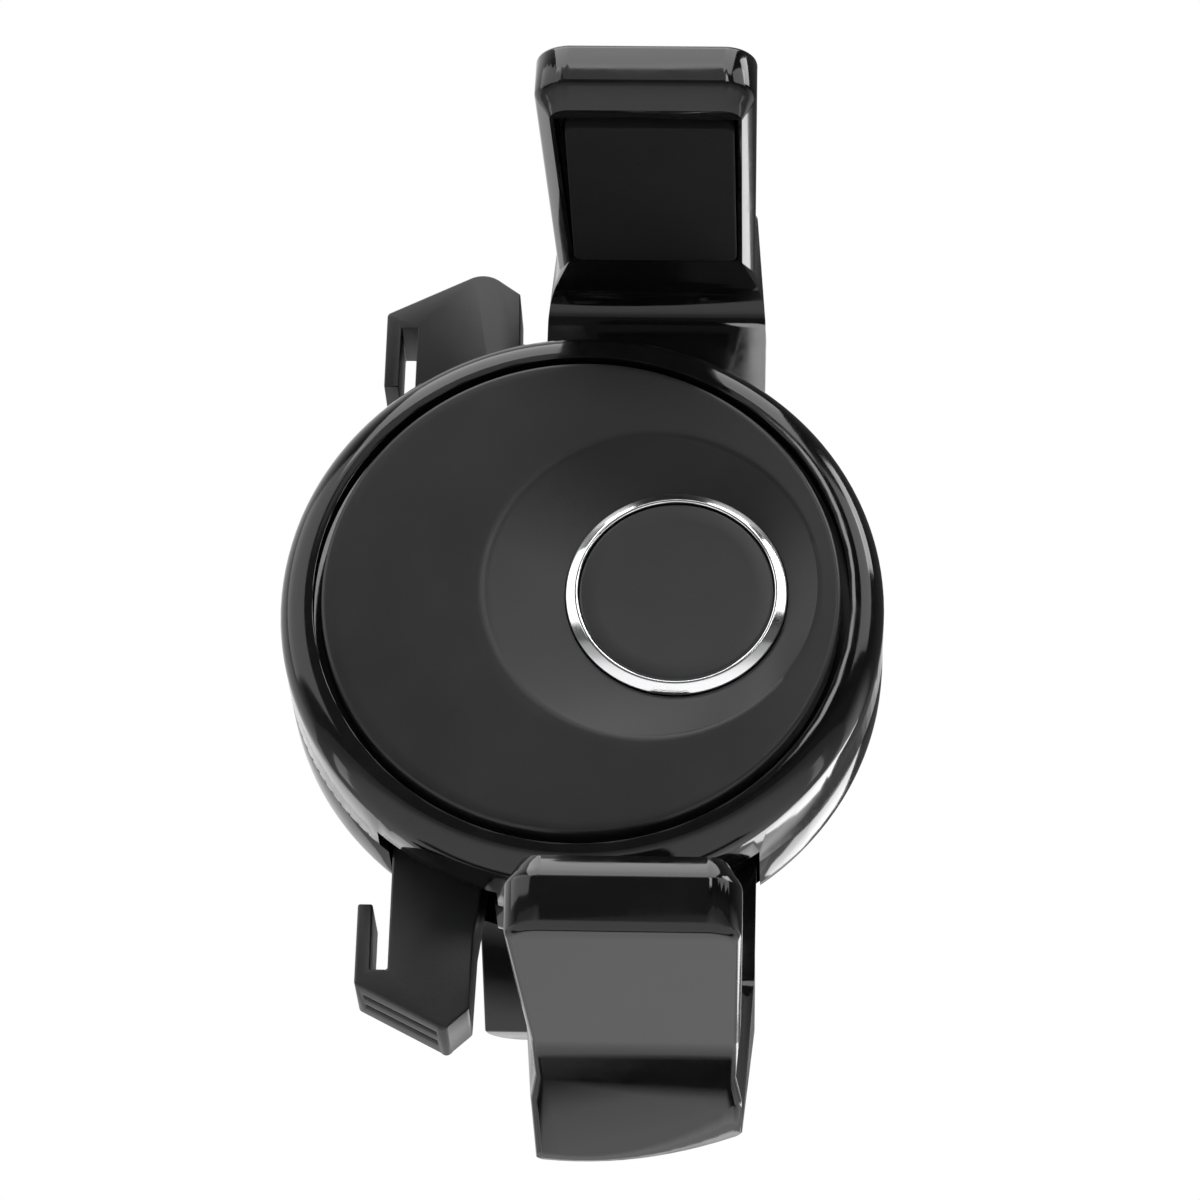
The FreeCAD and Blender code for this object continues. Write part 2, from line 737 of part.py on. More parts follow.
def half_turn():
    return Placement(Vector(2 * cell.arm_across.value, 0, 0), Rotation(Vector(0, 1, 0), 180))


def tray_outline(depth, clearance, lift):
    """Side outline of the pad's tray, following the leaning inner face."""
    bottom = -cell.pad_bottom + clearance
    top = -cell.pad_top - clearance
    return [
        (bottom, inner_face(bottom) + lift), (top, inner_face(top) + lift),
        (top, inner_face(top) + depth), (bottom, inner_face(bottom) + depth)]


def runs_across(edge):
    """True for a straight edge along X."""
    return isinstance(edge.Curve, Part.Line) and abs(edge.tangentAt(edge.FirstParameter).x) > 0.99


def runs_up(edge):
    """True for a straight edge along Z."""
    return isinstance(edge.Curve, Part.Line) and abs(edge.tangentAt(edge.FirstParameter).z) > 0.99


def on_inner_rim(edge):
    """True for the edges round an arm's gripping face: its tip, tip corners and sides."""
    point = middle(edge)
    if point.y > 0:
        return False
    return near(point.z, inner_face(as_size(point.y)))


def on_outer_rim(edge):
    """True for the edges round an arm's outer face: its tip, tip corners and long sides."""
    point = middle(edge)
    if runs_across(edge):
        return near(point.y, -cell.arm_front) and point.z > arm_reach.value + 1
    return point.z > (arm_reach + cell.arm_lean + cell.arm_tip_thickness).value - 0.02


def cut_heel(body, centre_across):
    """Trims the arm's outer end to a circle about the middle of the disc."""
    ring = circle_sketch(body, cell.arm_heel_radius, centre_across, as_size(0), -cell.arm_front - 1)
    ring.addGeometry(Part.Circle(Vector(centre_across.value, 0, 0), Vector(0, 0, 1),
                                 2 * cell.arm_heel_radius.value))
    outside = body.newObject("PartDesign::Pocket", "Heel")
    outside.Profile = ring
    outside.Reversed = False
    bind(outside, "Length", 4 * cell.arm_front)
    document.recompute()


def add_rack(body):
    """Straight-sided rack teeth, with a gap facing the pinion's tooth at mid height."""
    pitch = math.pi * cell.tooth_module
    slope = math.tan(math.radians(20))
    pitch_line = cell.arm_across + pitch_radius
    half = pitch / 4 - cell.tooth_backlash / 4
    tip = half - slope * cell.rack_addendum
    root = half + slope * (cell.rack_dedendum + 0.1)
    teeth_each_way = int((rack_end.value - root.value) / pitch.value + 0.5)
    lowest = pitch * (0.5 - teeth_each_way)
    first = extrude(body, "XZ_Plane", [[
        (rack_root + 0.1, lowest - root), (pitch_line - cell.rack_addendum, lowest - tip),
        (pitch_line - cell.rack_addendum, lowest + tip), (rack_root + 0.1, lowest + root)]],
        bar_back - bar_front, start=bar_front)
    count = 2 * teeth_each_way
    repeat_up(body, first, pitch * (count - 1), count)


def repeat_up(body, original, length, count):
    pattern = body.newObject("PartDesign::LinearPattern", "Row")
    pattern.Originals = [original]
    axis = next(item for item in body.Origin.OriginFeatures if item.Role == "Z_Axis")
    pattern.Direction = (axis, [""])
    bind(pattern, "Length", length)
    pattern.Occurrences = count
    body.Tip = pattern
    document.recompute()


def add_ratchet(body):
    """Fine saw teeth on the bar's outer edge, which the latch catches."""
    pitch = cell.ratchet_pitch
    count = int(2 * (rack_end.value - 1) / pitch.value)
    lowest = -rack_end + 0.8
    first = extrude(body, "XZ_Plane", [[
        (arm_right - cell.ratchet_depth, lowest), (arm_right + 0.5, lowest),
        (arm_right + 0.5, lowest + pitch * 0.9), (arm_right, lowest + pitch * 0.9)]],
        bar_back - bar_front + 2, start=bar_front - 1, cut=True)
    repeat_up(body, first, pitch * (count - 1), count)


def involute(base, angle):
    """Point of an involute of the base circle, unrolled by an angle in radians."""
    return Vector(base * (math.cos(angle) + angle * math.sin(angle)), 0,
                  base * (math.sin(angle) - angle * math.cos(angle)))


def make_pinion():
    """Involute pinion between the two racks, turning on a steel pin."""
    count = int(cell.tooth_count.value)
    pitch = pitch_radius.value
    pressure = math.radians(20)
    base = pitch * math.cos(pressure)
    tip = pitch + cell.tooth_module.value
    root = pitch - 1.2 * cell.tooth_module.value
    half_tooth = math.pi / (2 * count) - cell.tooth_backlash.value / (4 * pitch)
    at_pitch = math.tan(pressure) - pressure
    reach = math.sqrt((tip / base) ** 2 - 1)
    edges = []
    previous_end = None
    first_start = None
    for tooth in range(count):
        middle_turn = math.degrees(2 * math.pi * tooth / count)
        offset = math.degrees(half_tooth + at_pitch)
        steps = [reach * step / 3 for step in range(4)]
        rising = [involute(base, step) for step in steps]
        spin_up = Rotation(Vector(0, -1, 0), middle_turn - offset)
        spin_down = Rotation(Vector(0, -1, 0), middle_turn + offset)
        low_flank = [spin_up.multVec(point) for point in rising]
        high_flank = [spin_down.multVec(Vector(point.x, 0, -point.z)) for point in reversed(rising)]
        root_low = low_flank[0] * (root / base)
        root_high = high_flank[-1] * (root / base)
        if previous_end is not None:
            edges.append(Part.LineSegment(previous_end, root_low).toShape())
        else:
            first_start = root_low
        edges.append(Part.LineSegment(root_low, low_flank[0]).toShape())
        edges.append(flank_curve(low_flank))
        edges.append(Part.LineSegment(low_flank[-1], high_flank[0]).toShape())
        edges.append(flank_curve(high_flank))
        edges.append(Part.LineSegment(high_flank[-1], root_high).toShape())
        previous_end = root_high
    edges.append(Part.LineSegment(previous_end, first_start).toShape())
    face = Part.Face(Part.Wire(edges))
    length = (bar_back - bar_front).value
    wheel = face.extrude(Vector(0, length, 0))
    bore = Part.makeCylinder((cell.pinion_pin_radius + cell.pinion_fit).value, length,
                             Vector(), Vector(0, 1, 0))
    wheel = wheel.cut(bore)
    new_solid("arm_pinion", wheel,
              Placement(Vector(cell.arm_across.value, bar_front.value, 0), Rotation()))
    pin = new_body("pinion_pin")
    rod(pin, cell.pinion_pin_radius, cell.arm_across, 0, bar_front, cell.back_floor + 1)


def flank_curve(points):
    curve = Part.BSplineCurve()
    curve.interpolate(points)
    return curve.toShape()


def make_tab(label, side):
    """Flat release tab with a slanted ribbed thumb end, a stop hook and a wedge leg."""
    body = new_body(label)
    thickness = bar_back - cell.tongue_front - cell.slide_gap
    front = cell.tongue_front + cell.slide_gap
    wedge_top = cell.latch_wedge_high
    leg_right = latch_face + 1.1
    leg_low = cell.latch_wedge_low + 0.5
    slope = cell.latch_wedge_slope
    clear = 0.35
    head_low = cell.tab_low_corner - cell.tab_head_edge
    neck_right = tab_right + 0.2
    corners = [
        (tab_left, tab_inner_end), (tab_left, head_low),
        (tab_head_left + cell.tab_hook_width, head_low),
        (tab_head_left + cell.tab_hook_width, cell.tab_hook_end),
        (tab_head_left, cell.tab_hook_end), (tab_head_left, cell.tab_low_corner),
        (tab_peak_across, cell.tab_peak_up), (tab_right, cell.tab_peak_up - cell.tab_shoulder),
        (neck_right, cell.tab_low_corner - 5), (neck_right, tab_inner_end - 0.5),
        (leg_right, tab_inner_end - 0.5), (leg_right, leg_low),
        (latch_face + clear, leg_low),
        (latch_face + clear - slope * (wedge_top - cell.latch_wedge_low), wedge_top + 0.5),
        (latch_face + clear - slope * (wedge_top - cell.latch_wedge_low), tab_inner_end)]
    extrude(body, "XZ_Plane", [[(x, side * z) for x, z in corners]], thickness, start=front)
    dress(body, "Fillet", cell.tab_corner_round, lambda edge: near(middle(edge).x, tab_peak_across)
          and near(middle(edge).z, side * cell.tab_peak_up))
    dress(body, "Fillet", 0.5, lambda edge: near(middle(edge).x, tab_head_left)
          and near(middle(edge).z, side * cell.tab_low_corner))
    run = tab_peak_across - tab_head_left
    rise = cell.tab_peak_up - cell.tab_low_corner
    for index in range(2):
        depth = front + thickness / 2 + (index - 0.5) * cell.tab_rib_pitch - cell.tab_rib_groove / 2
        groove = [
            (tab_head_left + 0.8, cell.tab_low_corner - 0.8 + rise * 0.8 / run),
            (tab_head_left + 0.8, cell.tab_low_corner + 3),
            (tab_peak_across - 1.6, cell.tab_peak_up + 3),
            (tab_peak_across - 1.6, cell.tab_peak_up - 0.8 - rise * 1.6 / run)]
        extrude(body, "XZ_Plane", [[(x, side * z) for x, z in groove]],
                cell.tab_rib_groove, start=depth, cut=True)


def make_latch():
    """Latch bar whose toothed nose catches the lower arm's ratchet; both tabs wedge it free."""
    body = new_body("latch")
    low = cell.latch_wedge_low
    high = cell.latch_wedge_high
    half = cell.latch_nose_half
    face = latch_face
    nose = face + cell.latch_nose_length
    back = face - cell.latch_wedge_slope * (high - low)
    extrude(body, "XZ_Plane", [[
        (nose, cell.ratchet_pitch * 0.9), (nose - 0.5, half), (face, half), (face, low), (back, high),
        (latch_left, high), (latch_left, -high), (back, -high), (face, -low),
        (face, -half), (nose - 0.5, -half), (nose, cell.ratchet_pitch * -0.6), (nose - 0.5, 0)]],
        bar_back - bar_front, start=bar_front)


def make_inner_springs():
    depth = ((bar_front + bar_back) / 2).value
    wire = cell.spring_wire
    arm_spring = coil(cell.arm_spring_radius, wire, cell.arm_spring_low, cell.arm_lug_up, 7)
    across = (arm_right + 0.5 + cell.arm_spring_radius + wire / 2).value
    new_solid("arm_spring", arm_spring, Placement(Vector(across, depth, 0), Rotation(Vector(1, 0, 0), 90)))
    across = tab_left + cell.tab_spring_side_gap + cell.tab_spring_radius + wire / 2
    for label, sign in (("upper_tab_spring", 1), ("lower_tab_spring", -1)):
        shape = coil(cell.tab_spring_radius, wire, cell.spring_post_half, tab_inner_end, 6)
        new_solid(label, shape, Placement(Vector(across.value, depth, 0),
                                          Rotation(Vector(1, 0, 0), 90 * sign)))
    shape = coil(cell.tab_spring_radius, wire, -latch_left, cell.latch_spring_length - latch_left, 2)
    new_solid("latch_spring", shape, Placement(Vector(0, depth, 0), Rotation(Vector(0, 0, 1), 90)))


def make_screws():
    """Four small pan screws that hold the two shells together."""
    solids = []
    for across, up in screw_places:
        place = Vector(across.value, (front_floor_back + cell.screw_start).value, up.value)
        head_start = (back_face - cell.screw_head_height).value
        shank = Part.makeCylinder(cell.screw_radius.value, head_start - place.y, place, Vector(0, 1, 0))
        head_place = Vector(place.x, head_start, place.z)
        head = Part.makeCylinder(cell.screw_head_radius.value - 0.1, cell.screw_head_height.value - 0.15,
                                 head_place, Vector(0, 1, 0))
        slot_width = 0.5
        slot = Part.makeBox(2.4, 0.5, slot_width,
                            Vector(place.x - 1.2, head_start + 0.4, place.z - slot_width / 2))
        cross = Part.makeBox(slot_width, 0.5, 2.4,
                             Vector(place.x - slot_width / 2, head_start + 0.4, place.z - 1.2))
        solids.append(shank.fuse(head).removeSplitter().cut(slot).cut(cross))
    new_solid("housing_screws", Part.makeCompound(solids))


def to_clip(body):
    """Puts a piece drawn on the clip's own axis onto the drooping clip."""
    body.Placement = clip_place()
    bind(body, "Placement.Base.y", ball_centre)
    document.recompute()


def clip_place():
    return Placement(Vector(0, ball_centre.value, 0),
                     Rotation(Vector(1, 0, 0), -cell.clip_droop.value))


def make_clip_body():
    """Ball, neck and fixed upper jaw of the vent clip, moulded in one."""
    body = new_body("clip_body")
    half_gap = cell.blade_gap / 2 + cell.jaw_pad_thickness
    top = cell.clip_half_height
    pivot_top = cell.pivot_up + cell.ear_radius
    extrude(body, "YZ_Plane", [[
        (cell.clip_start, pivot_top - 0.6), (cell.clip_start, top - 1.4),
        (cell.clip_start + 3, top), (cell.clip_end - 4, top), (cell.clip_end, half_gap + 1.6),
        (cell.clip_end, half_gap), (cell.jaw_front - 1, half_gap), (cell.jaw_front - 2, pivot_top + 0.6),
        (cell.pivot_back - 4.5, pivot_top + 0.6)]],
        cell.clip_width, midplane=True)
    dress(body, "Fillet", cell.clip_corner_round, lambda edge: near(middle(edge).y, cell.clip_end)
          and abs(edge.tangentAt(edge.FirstParameter).z) > 0.9)
    dress(body, "Fillet", 1.0, lambda edge: near(middle(edge).y, cell.clip_start)
          and abs(edge.tangentAt(edge.FirstParameter).z) > 0.9)
    rod(body, cell.neck_radius, 0, 0, 0, cell.clip_start + 1)
    collar = cell.neck_radius + 1.6
    rod(body, collar, 0, 0, cell.clip_start - 1.6, cell.clip_start + 0.2)
    ball = body.newObject("PartDesign::AdditiveSphere", "Ball")
    bind(ball, "Radius", cell.ball_radius)
    document.recompute()
    for side in (-1, 1):
        add_ear(body, side * (cell.ear_inner + cell.ear_width / 2), cell.ear_width, pivot_top + 1)
    bore_across(body, cell.clip_pin_radius)
    to_clip(body)
    pad = new_body("upper_jaw_pad")
    pad_block(pad, cell.blade_gap / 2, half_gap)
    to_clip(pad)


def pad_block(pad, low, high):
    half = cell.clip_width / 2 - cell.jaw_pad_margin
    block(pad, (-half, cell.jaw_front, low), (half, cell.clip_end - cell.jaw_pad_margin, high))
    dress(pad, "Fillet", 1.8, lambda edge: near(middle(edge).y, cell.clip_end - cell.jaw_pad_margin)
          and abs(edge.tangentAt(edge.FirstParameter).z) > 0.9)


def add_ear(body, across, width, top):
    """Rounded ear around the clip's pivot, joined up or down to the jaw."""
    ear = body.newObject("PartDesign::AdditiveCylinder", "Ear")
    ear.Placement = Placement(Vector(), Rotation(Vector(0, 1, 0), 90))
    bind(ear, "Radius", cell.ear_radius)
    bind(ear, "Height", width)
    bind(ear, "Placement.Base.x", across - width / 2)
    bind(ear, "Placement.Base.y", cell.pivot_back)
    bind(ear, "Placement.Base.z", cell.pivot_up)
    document.recompute()
    low, high = (cell.pivot_up, top) if top.value > cell.pivot_up.value else (top, cell.pivot_up)
    block(body, (across - width / 2, cell.pivot_back - cell.ear_radius, low),
          (across + width / 2, cell.pivot_back + cell.ear_radius, high))


def bore_across(body, radius):
    bore = body.newObject("PartDesign::SubtractiveCylinder", "Bore")
    bore.Placement = Placement(Vector(), Rotation(Vector(0, 1, 0), 90))
    bind(bore, "Radius", radius)
    bind(bore, "Height", 2 * cell.clip_width)
    bind(bore, "Placement.Base.x", -cell.clip_width)
    bind(bore, "Placement.Base.y", cell.pivot_back)
    bind(bore, "Placement.Base.z", cell.pivot_up)
    document.recompute()


def make_clip_lever():
    """Squeezed lower jaw: outer plate, thickened jaw and two pivot ears."""
    body = new_body("clip_lever")
    half_gap = cell.blade_gap / 2 + cell.jaw_pad_thickness
    bottom = -cell.clip_half_height
    extrude(body, "YZ_Plane", [[
        (cell.lever_start, bottom + 0.6), (cell.lever_start + 1.5, bottom), (cell.clip_end - 4, bottom),
        (cell.clip_end, -half_gap - 1.4), (cell.clip_end, -half_gap), (cell.jaw_front, -half_gap),
        (cell.pivot_back + 1.5, bottom + cell.jaw_thickness - 0.6),
        (cell.pivot_back - 1.5, bottom + cell.jaw_thickness - 0.6),
        (cell.lever_start, bottom + cell.jaw_thickness - 0.8)]],
        cell.clip_width, midplane=True)
    dress(body, "Fillet", cell.clip_corner_round, lambda edge: near(middle(edge).y, cell.clip_end)
          and abs(edge.tangentAt(edge.FirstParameter).z) > 0.9)
    dress(body, "Fillet", 1.5, lambda edge: near(middle(edge).y, cell.lever_start)
          and abs(edge.tangentAt(edge.FirstParameter).z) > 0.9)
    ear_gap = cell.slide_gap / 2
    width = cell.ear_inner - cell.clip_spring_radius - 0.9 - ear_gap
    for side in (-1, 1):
        add_ear(body, side * (cell.ear_inner - ear_gap - width / 2), width, bottom + 1)
    bore_across(body, cell.clip_pin_radius + cell.clip_pin_fit)
    to_clip(body)
    pad = new_body("lower_jaw_pad")
    pad_block(pad, -half_gap, -cell.blade_gap / 2)
    to_clip(pad)


def make_clip_pin():
    """Steel pin through the ears, and the torsion spring round its middle."""
    length = 2 * (cell.ear_inner + cell.ear_width)
    pin = Part.makeCylinder(cell.clip_pin_radius.value, length.value,
                            Vector(-length.value / 2, 0, 0), Vector(1, 0, 0))
    pivot = Placement(Vector(0, cell.pivot_back.value, cell.pivot_up.value), Rotation())
    new_solid("clip_pin", pin, clip_place().multiply(pivot))
    wire = cell.spring_wire
    width = 2 * (cell.clip_spring_radius - 0.3)
    spring = coil(cell.clip_spring_radius - 0.4, wire, -width / 2, width / 2, 3)
    turned = Placement(Vector(), Rotation(Vector(0, 0, 1), 90))
    new_solid("clip_spring", spring, clip_place().multiply(pivot).multiply(turned))


make_face_plate()
make_front_housing()
make_chassis_plate()
make_button()
make_back_housing()
make_ball_liners()
make_lock_nut()
make_arm("upper_arm", turned=False)
make_arm("lower_arm", turned=True)
make_pinion()
make_tab("upper_release_tab", 1)
make_tab("lower_release_tab", -1)
make_latch()
make_inner_springs()
make_screws()
make_clip_body()
make_clip_lever()
make_clip_pin()

document.recompute()
for item in document.Objects:
    if "Invalid" in item.State or "Error" in item.State:
        raise RuntimeError("%s did not compute: %s" % (item.Label, item.State))
for piece in sub_parts:
    if piece.Shape.isNull() or not piece.Shape.isValid():
        raise RuntimeError(piece.Label + " has no sound shape")

os.makedirs("parts", exist_ok=True)
for piece in sub_parts:
    piece.Shape.exportStep("parts/%s.step" % piece.Label)
    box = piece.Shape.BoundBox
    print("%-20s solids %d volume %9.2f  x %.1f %.1f  y %.1f %.1f  z %.1f %.1f" % (
        piece.Label, len(piece.Shape.Solids), piece.Shape.Volume,
        box.XMin, box.XMax, box.YMin, box.YMax, box.ZMin, box.ZMax))
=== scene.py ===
import json
import math

import bpy
from mathutils import Matrix, Vector

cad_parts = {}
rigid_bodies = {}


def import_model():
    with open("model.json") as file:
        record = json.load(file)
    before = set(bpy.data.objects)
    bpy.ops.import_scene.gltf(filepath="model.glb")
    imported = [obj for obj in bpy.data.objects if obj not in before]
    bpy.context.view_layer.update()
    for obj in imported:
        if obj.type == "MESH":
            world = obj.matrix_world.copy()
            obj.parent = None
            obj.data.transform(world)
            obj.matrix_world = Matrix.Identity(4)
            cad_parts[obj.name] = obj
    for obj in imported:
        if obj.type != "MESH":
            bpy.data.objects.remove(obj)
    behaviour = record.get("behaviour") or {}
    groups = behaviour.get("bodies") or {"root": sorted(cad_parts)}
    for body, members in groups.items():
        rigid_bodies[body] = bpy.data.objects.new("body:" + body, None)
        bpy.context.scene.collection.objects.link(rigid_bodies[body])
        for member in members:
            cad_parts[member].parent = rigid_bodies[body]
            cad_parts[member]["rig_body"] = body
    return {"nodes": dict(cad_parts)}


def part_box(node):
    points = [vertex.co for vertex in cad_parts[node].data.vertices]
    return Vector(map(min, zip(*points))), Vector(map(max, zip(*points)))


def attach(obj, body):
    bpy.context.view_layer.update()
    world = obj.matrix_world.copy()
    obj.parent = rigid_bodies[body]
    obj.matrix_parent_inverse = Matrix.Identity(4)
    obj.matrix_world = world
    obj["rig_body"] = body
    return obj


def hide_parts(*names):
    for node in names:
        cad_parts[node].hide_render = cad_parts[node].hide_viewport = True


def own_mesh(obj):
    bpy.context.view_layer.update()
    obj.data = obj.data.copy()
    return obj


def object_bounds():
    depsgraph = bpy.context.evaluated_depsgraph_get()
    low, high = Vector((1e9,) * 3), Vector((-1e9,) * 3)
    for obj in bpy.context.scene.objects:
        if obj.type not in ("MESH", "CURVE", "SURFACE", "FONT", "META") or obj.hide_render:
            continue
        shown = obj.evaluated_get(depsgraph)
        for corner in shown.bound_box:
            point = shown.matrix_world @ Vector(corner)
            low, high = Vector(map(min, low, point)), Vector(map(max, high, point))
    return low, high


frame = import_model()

cad_low, cad_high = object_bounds()
nodes = frame["nodes"]

# Face plate
# The round satin plate that the phone's back lies on, moulded in dark grey plastic with
# a fine spark-eroded grain and an eccentric dish around the button. It snaps into the rim.


def deselect():
    if bpy.context.object and bpy.context.object.mode != "OBJECT":
        bpy.ops.object.mode_set(mode="OBJECT")
    bpy.ops.object.select_all(action="DESELECT")


def pick(piece):
    deselect()
    piece.select_set(True)
    bpy.context.view_layer.objects.active = piece


def apply_modifier(piece, kind, **settings):
    pick(piece)
    modifier = piece.modifiers.new(kind.title(), kind)
    for name, value in settings.items():
        setattr(modifier, name, value)
    bpy.ops.object.modifier_apply(modifier=modifier.name)


def clean_copy(node, name):
    """A copy of a node's surface with its loose triangles merged into clean faces."""
    piece = bpy.data.objects.new(name, nodes[node].data.copy())
    bpy.context.scene.collection.objects.link(piece)
    pick(piece)
    bpy.ops.object.mode_set(mode="EDIT")
    bpy.ops.mesh.select_all(action="SELECT")
    bpy.ops.mesh.remove_doubles(threshold=2e-6)
    bpy.ops.mesh.dissolve_limited(angle_limit=math.radians(0.4))
    bpy.ops.object.mode_set(mode="OBJECT")
    return piece


def soften(piece, edge, steps=2, crease=32):
    """Rounds the sharp edges as a mould does, and shades the rest smooth."""
    if edge:
        apply_modifier(piece, "BEVEL", width=edge, segments=steps, limit_method="ANGLE",
                       angle_limit=math.radians(crease), use_clamp_overlap=True)
    pick(piece)
    bpy.ops.object.shade_smooth_by_angle(angle=math.radians(crease))


def moulded(node, edge, steps=2, crease=32):
    piece = clean_copy(node, node + "_moulded")
    soften(piece, edge, steps, crease)
    return piece


def seat(piece, node, finish):
    """Gives the piece its finish and its place on the body of the node that it stands for."""
    piece.data.materials.clear()
    piece.data.materials.append(finish)
    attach(piece, nodes[node]["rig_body"])
    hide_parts(node)


def new_group(name, inputs, outputs):
    group = bpy.data.node_groups.new(name, "ShaderNodeTree")
    for label, kind, value in inputs:
        socket = group.interface.new_socket(label, in_out="INPUT", socket_type=kind)
        socket.default_value = value
    for label, kind in outputs:
        group.interface.new_socket(label, in_out="OUTPUT", socket_type=kind)
    way_in = group.nodes.new("NodeGroupInput")
    way_out = group.nodes.new("NodeGroupOutput")
    return group, way_in, way_out


def add_node(tree, kind, **settings):
    node = tree.nodes.new("ShaderNode" + kind)
    for name, value in settings.items():
        setattr(node, name, value)
    return node


def noise(tree, place, scale, detail=3.0, rough=0.55):
    """Object-space noise whose scale is in waves per metre, or a link."""
    node = add_node(tree, "TexNoise")
    tree.links.new(place, node.inputs["Vector"])
    if isinstance(scale, (int, float)):
        node.inputs["Scale"].default_value = scale
    else:
        tree.links.new(scale, node.inputs["Scale"])
    node.inputs["Detail"].default_value = detail
    node.inputs["Roughness"].default_value = rough
    return node


def spread(tree, value, low, high, from_low=0.3, from_high=0.7):
    """Stretches a mask between two values, which may be links."""
    node = add_node(tree, "MapRange")
    tree.links.new(value, node.inputs["Value"])
    node.inputs["From Min"].default_value = from_low
    node.inputs["From Max"].default_value = from_high
    for socket, end in (("To Min", low), ("To Max", high)):
        if isinstance(end, (int, float)):
            node.inputs[socket].default_value = end
        else:
            tree.links.new(end, node.inputs[socket])
    return node.outputs["Result"]


def make_grain_group():
    """Spark-eroded grain: a fine bump, with roughness that drifts slowly over the surface."""
    drift_scale = 90.0
    grain_height = 0.00003
    group, way_in, way_out = new_group(
        "Moulded grain",
        [("Grain scale", "NodeSocketFloat", 6000.0), ("Depth", "NodeSocketFloat", 0.3),
         ("Smoothest", "NodeSocketFloat", 0.4), ("Roughest", "NodeSocketFloat", 0.55)],
        [("Roughness", "NodeSocketFloat"), ("Normal", "NodeSocketVector"),
         ("Mottle", "NodeSocketFloat")])
    place = add_node(group, "TexCoord").outputs["Object"]
    fine = noise(group, place, way_in.outputs["Grain scale"], 2.0)
    drift = noise(group, place, drift_scale, 4.0)
    bump = add_node(group, "Bump")
    bump.inputs["Distance"].default_value = grain_height
    group.links.new(way_in.outputs["Depth"], bump.inputs["Strength"])
    group.links.new(fine.outputs["Fac"], bump.inputs["Height"])
    rough = spread(group, drift.outputs["Fac"],
                   way_in.outputs["Smoothest"], way_in.outputs["Roughest"])
    group.links.new(rough, way_out.inputs["Roughness"])
    group.links.new(bump.outputs["Normal"], way_out.inputs["Normal"])
    group.links.new(drift.outputs["Fac"], way_out.inputs["Mottle"])
    return group


grain_group = make_grain_group()


def blank_finish(name, tint):
    material = bpy.data.materials.new(name)
    material.use_nodes = True
    material.diffuse_color = (*tint, 1)
    shader = material.node_tree.nodes["Principled BSDF"]
    shader.inputs["Base Color"].default_value = (*tint, 1)
    return material, material.node_tree, shader


def grained_finish(name, tint, lighter, scale, depth, smoothest, roughest):
    """Satin plastic or rubber: grain, drifting roughness and a slightly mottled colour."""
    material, tree, shader = blank_finish(name, tint)
    grain = add_node(tree, "Group")
    grain.node_tree = grain_group
    for label, value in (("Grain scale", scale), ("Depth", depth),
                         ("Smoothest", smoothest), ("Roughest", roughest)):
        grain.inputs[label].default_value = value
    ramp = add_node(tree, "ValToRGB")
    ramp.color_ramp.elements[0].position = 0.32
    ramp.color_ramp.elements[0].color = (*tint, 1)
    ramp.color_ramp.elements[1].position = 0.7
    ramp.color_ramp.elements[1].color = (*lighter, 1)
    tree.links.new(grain.outputs["Mottle"], ramp.inputs["Fac"])
    tree.links.new(ramp.outputs["Color"], shader.inputs["Base Color"])
    tree.links.new(grain.outputs["Roughness"], shader.inputs["Roughness"])
    tree.links.new(grain.outputs["Normal"], shader.inputs["Normal"])
    return material


plate_finish = grained_finish("plate_satin", (0.0125, 0.0125, 0.0130), (0.0145, 0.0145, 0.0150),
                              5200.0, 0.22, 0.29, 0.35)
plate_finish.node_tree.nodes["Principled BSDF"].inputs["Specular IOR Level"].default_value = 0.36


def ring_shell(name, sections, sides=192):
    """A skin through circles across the Y axis, each extruded from the last and resized.

    A section is (centre across, depth, centre up, radius). The ends stay open.
    """
    across, depth, rise, radius = sections[0]
    deselect()
    bpy.ops.mesh.primitive_circle_add(
        vertices=sides, radius=radius, location=(across, depth, rise),
        rotation=(math.radians(90), 0, 0))
    piece = bpy.context.object
    piece.name = name
    bpy.ops.object.transform_apply(location=True, rotation=True, scale=True)
    bpy.ops.object.mode_set(mode="EDIT")
    bpy.ops.mesh.select_all(action="SELECT")
    for new_across, new_depth, new_rise, new_radius in sections[1:]:
        bpy.ops.mesh.extrude_edges_move()
        bpy.ops.transform.resize(value=(new_radius / radius, 1, new_radius / radius),
                                 center_override=(across, depth, rise))
        bpy.ops.transform.translate(
            value=(new_across - across, new_depth - depth, new_rise - rise))
        across, depth, rise, radius = new_across, new_depth, new_rise, new_radius
    bpy.ops.mesh.select_all(action="SELECT")
    bpy.ops.mesh.remove_doubles(threshold=1e-6)
    bpy.ops.mesh.normals_make_consistent(inside=False)
    bpy.ops.object.mode_set(mode="OBJECT")
    return piece


plate_low, plate_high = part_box("face_plate")
plate_radius = (plate_high.x - plate_low.x) / 2
plate_back = plate_high.y
plate_bevel = 0.0004
dish_centre = (0.0063, 0.0010)
dish_radius = plate_radius - dish_centre[0] - 0.0021
dish_depth = 0.0014
cap_low, cap_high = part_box("button_cap")
button_centre = ((cap_low.x + cap_high.x) / 2, (cap_low.z + cap_high.z) / 2)
hole_radius = 0.01035

mouth_round = 0.00035
bevel_rings = 4
flat_rings = 12
dish_rings = 16
dish_spacing = 1.3
dish_hollow = 0.12
first_fall = 0.6

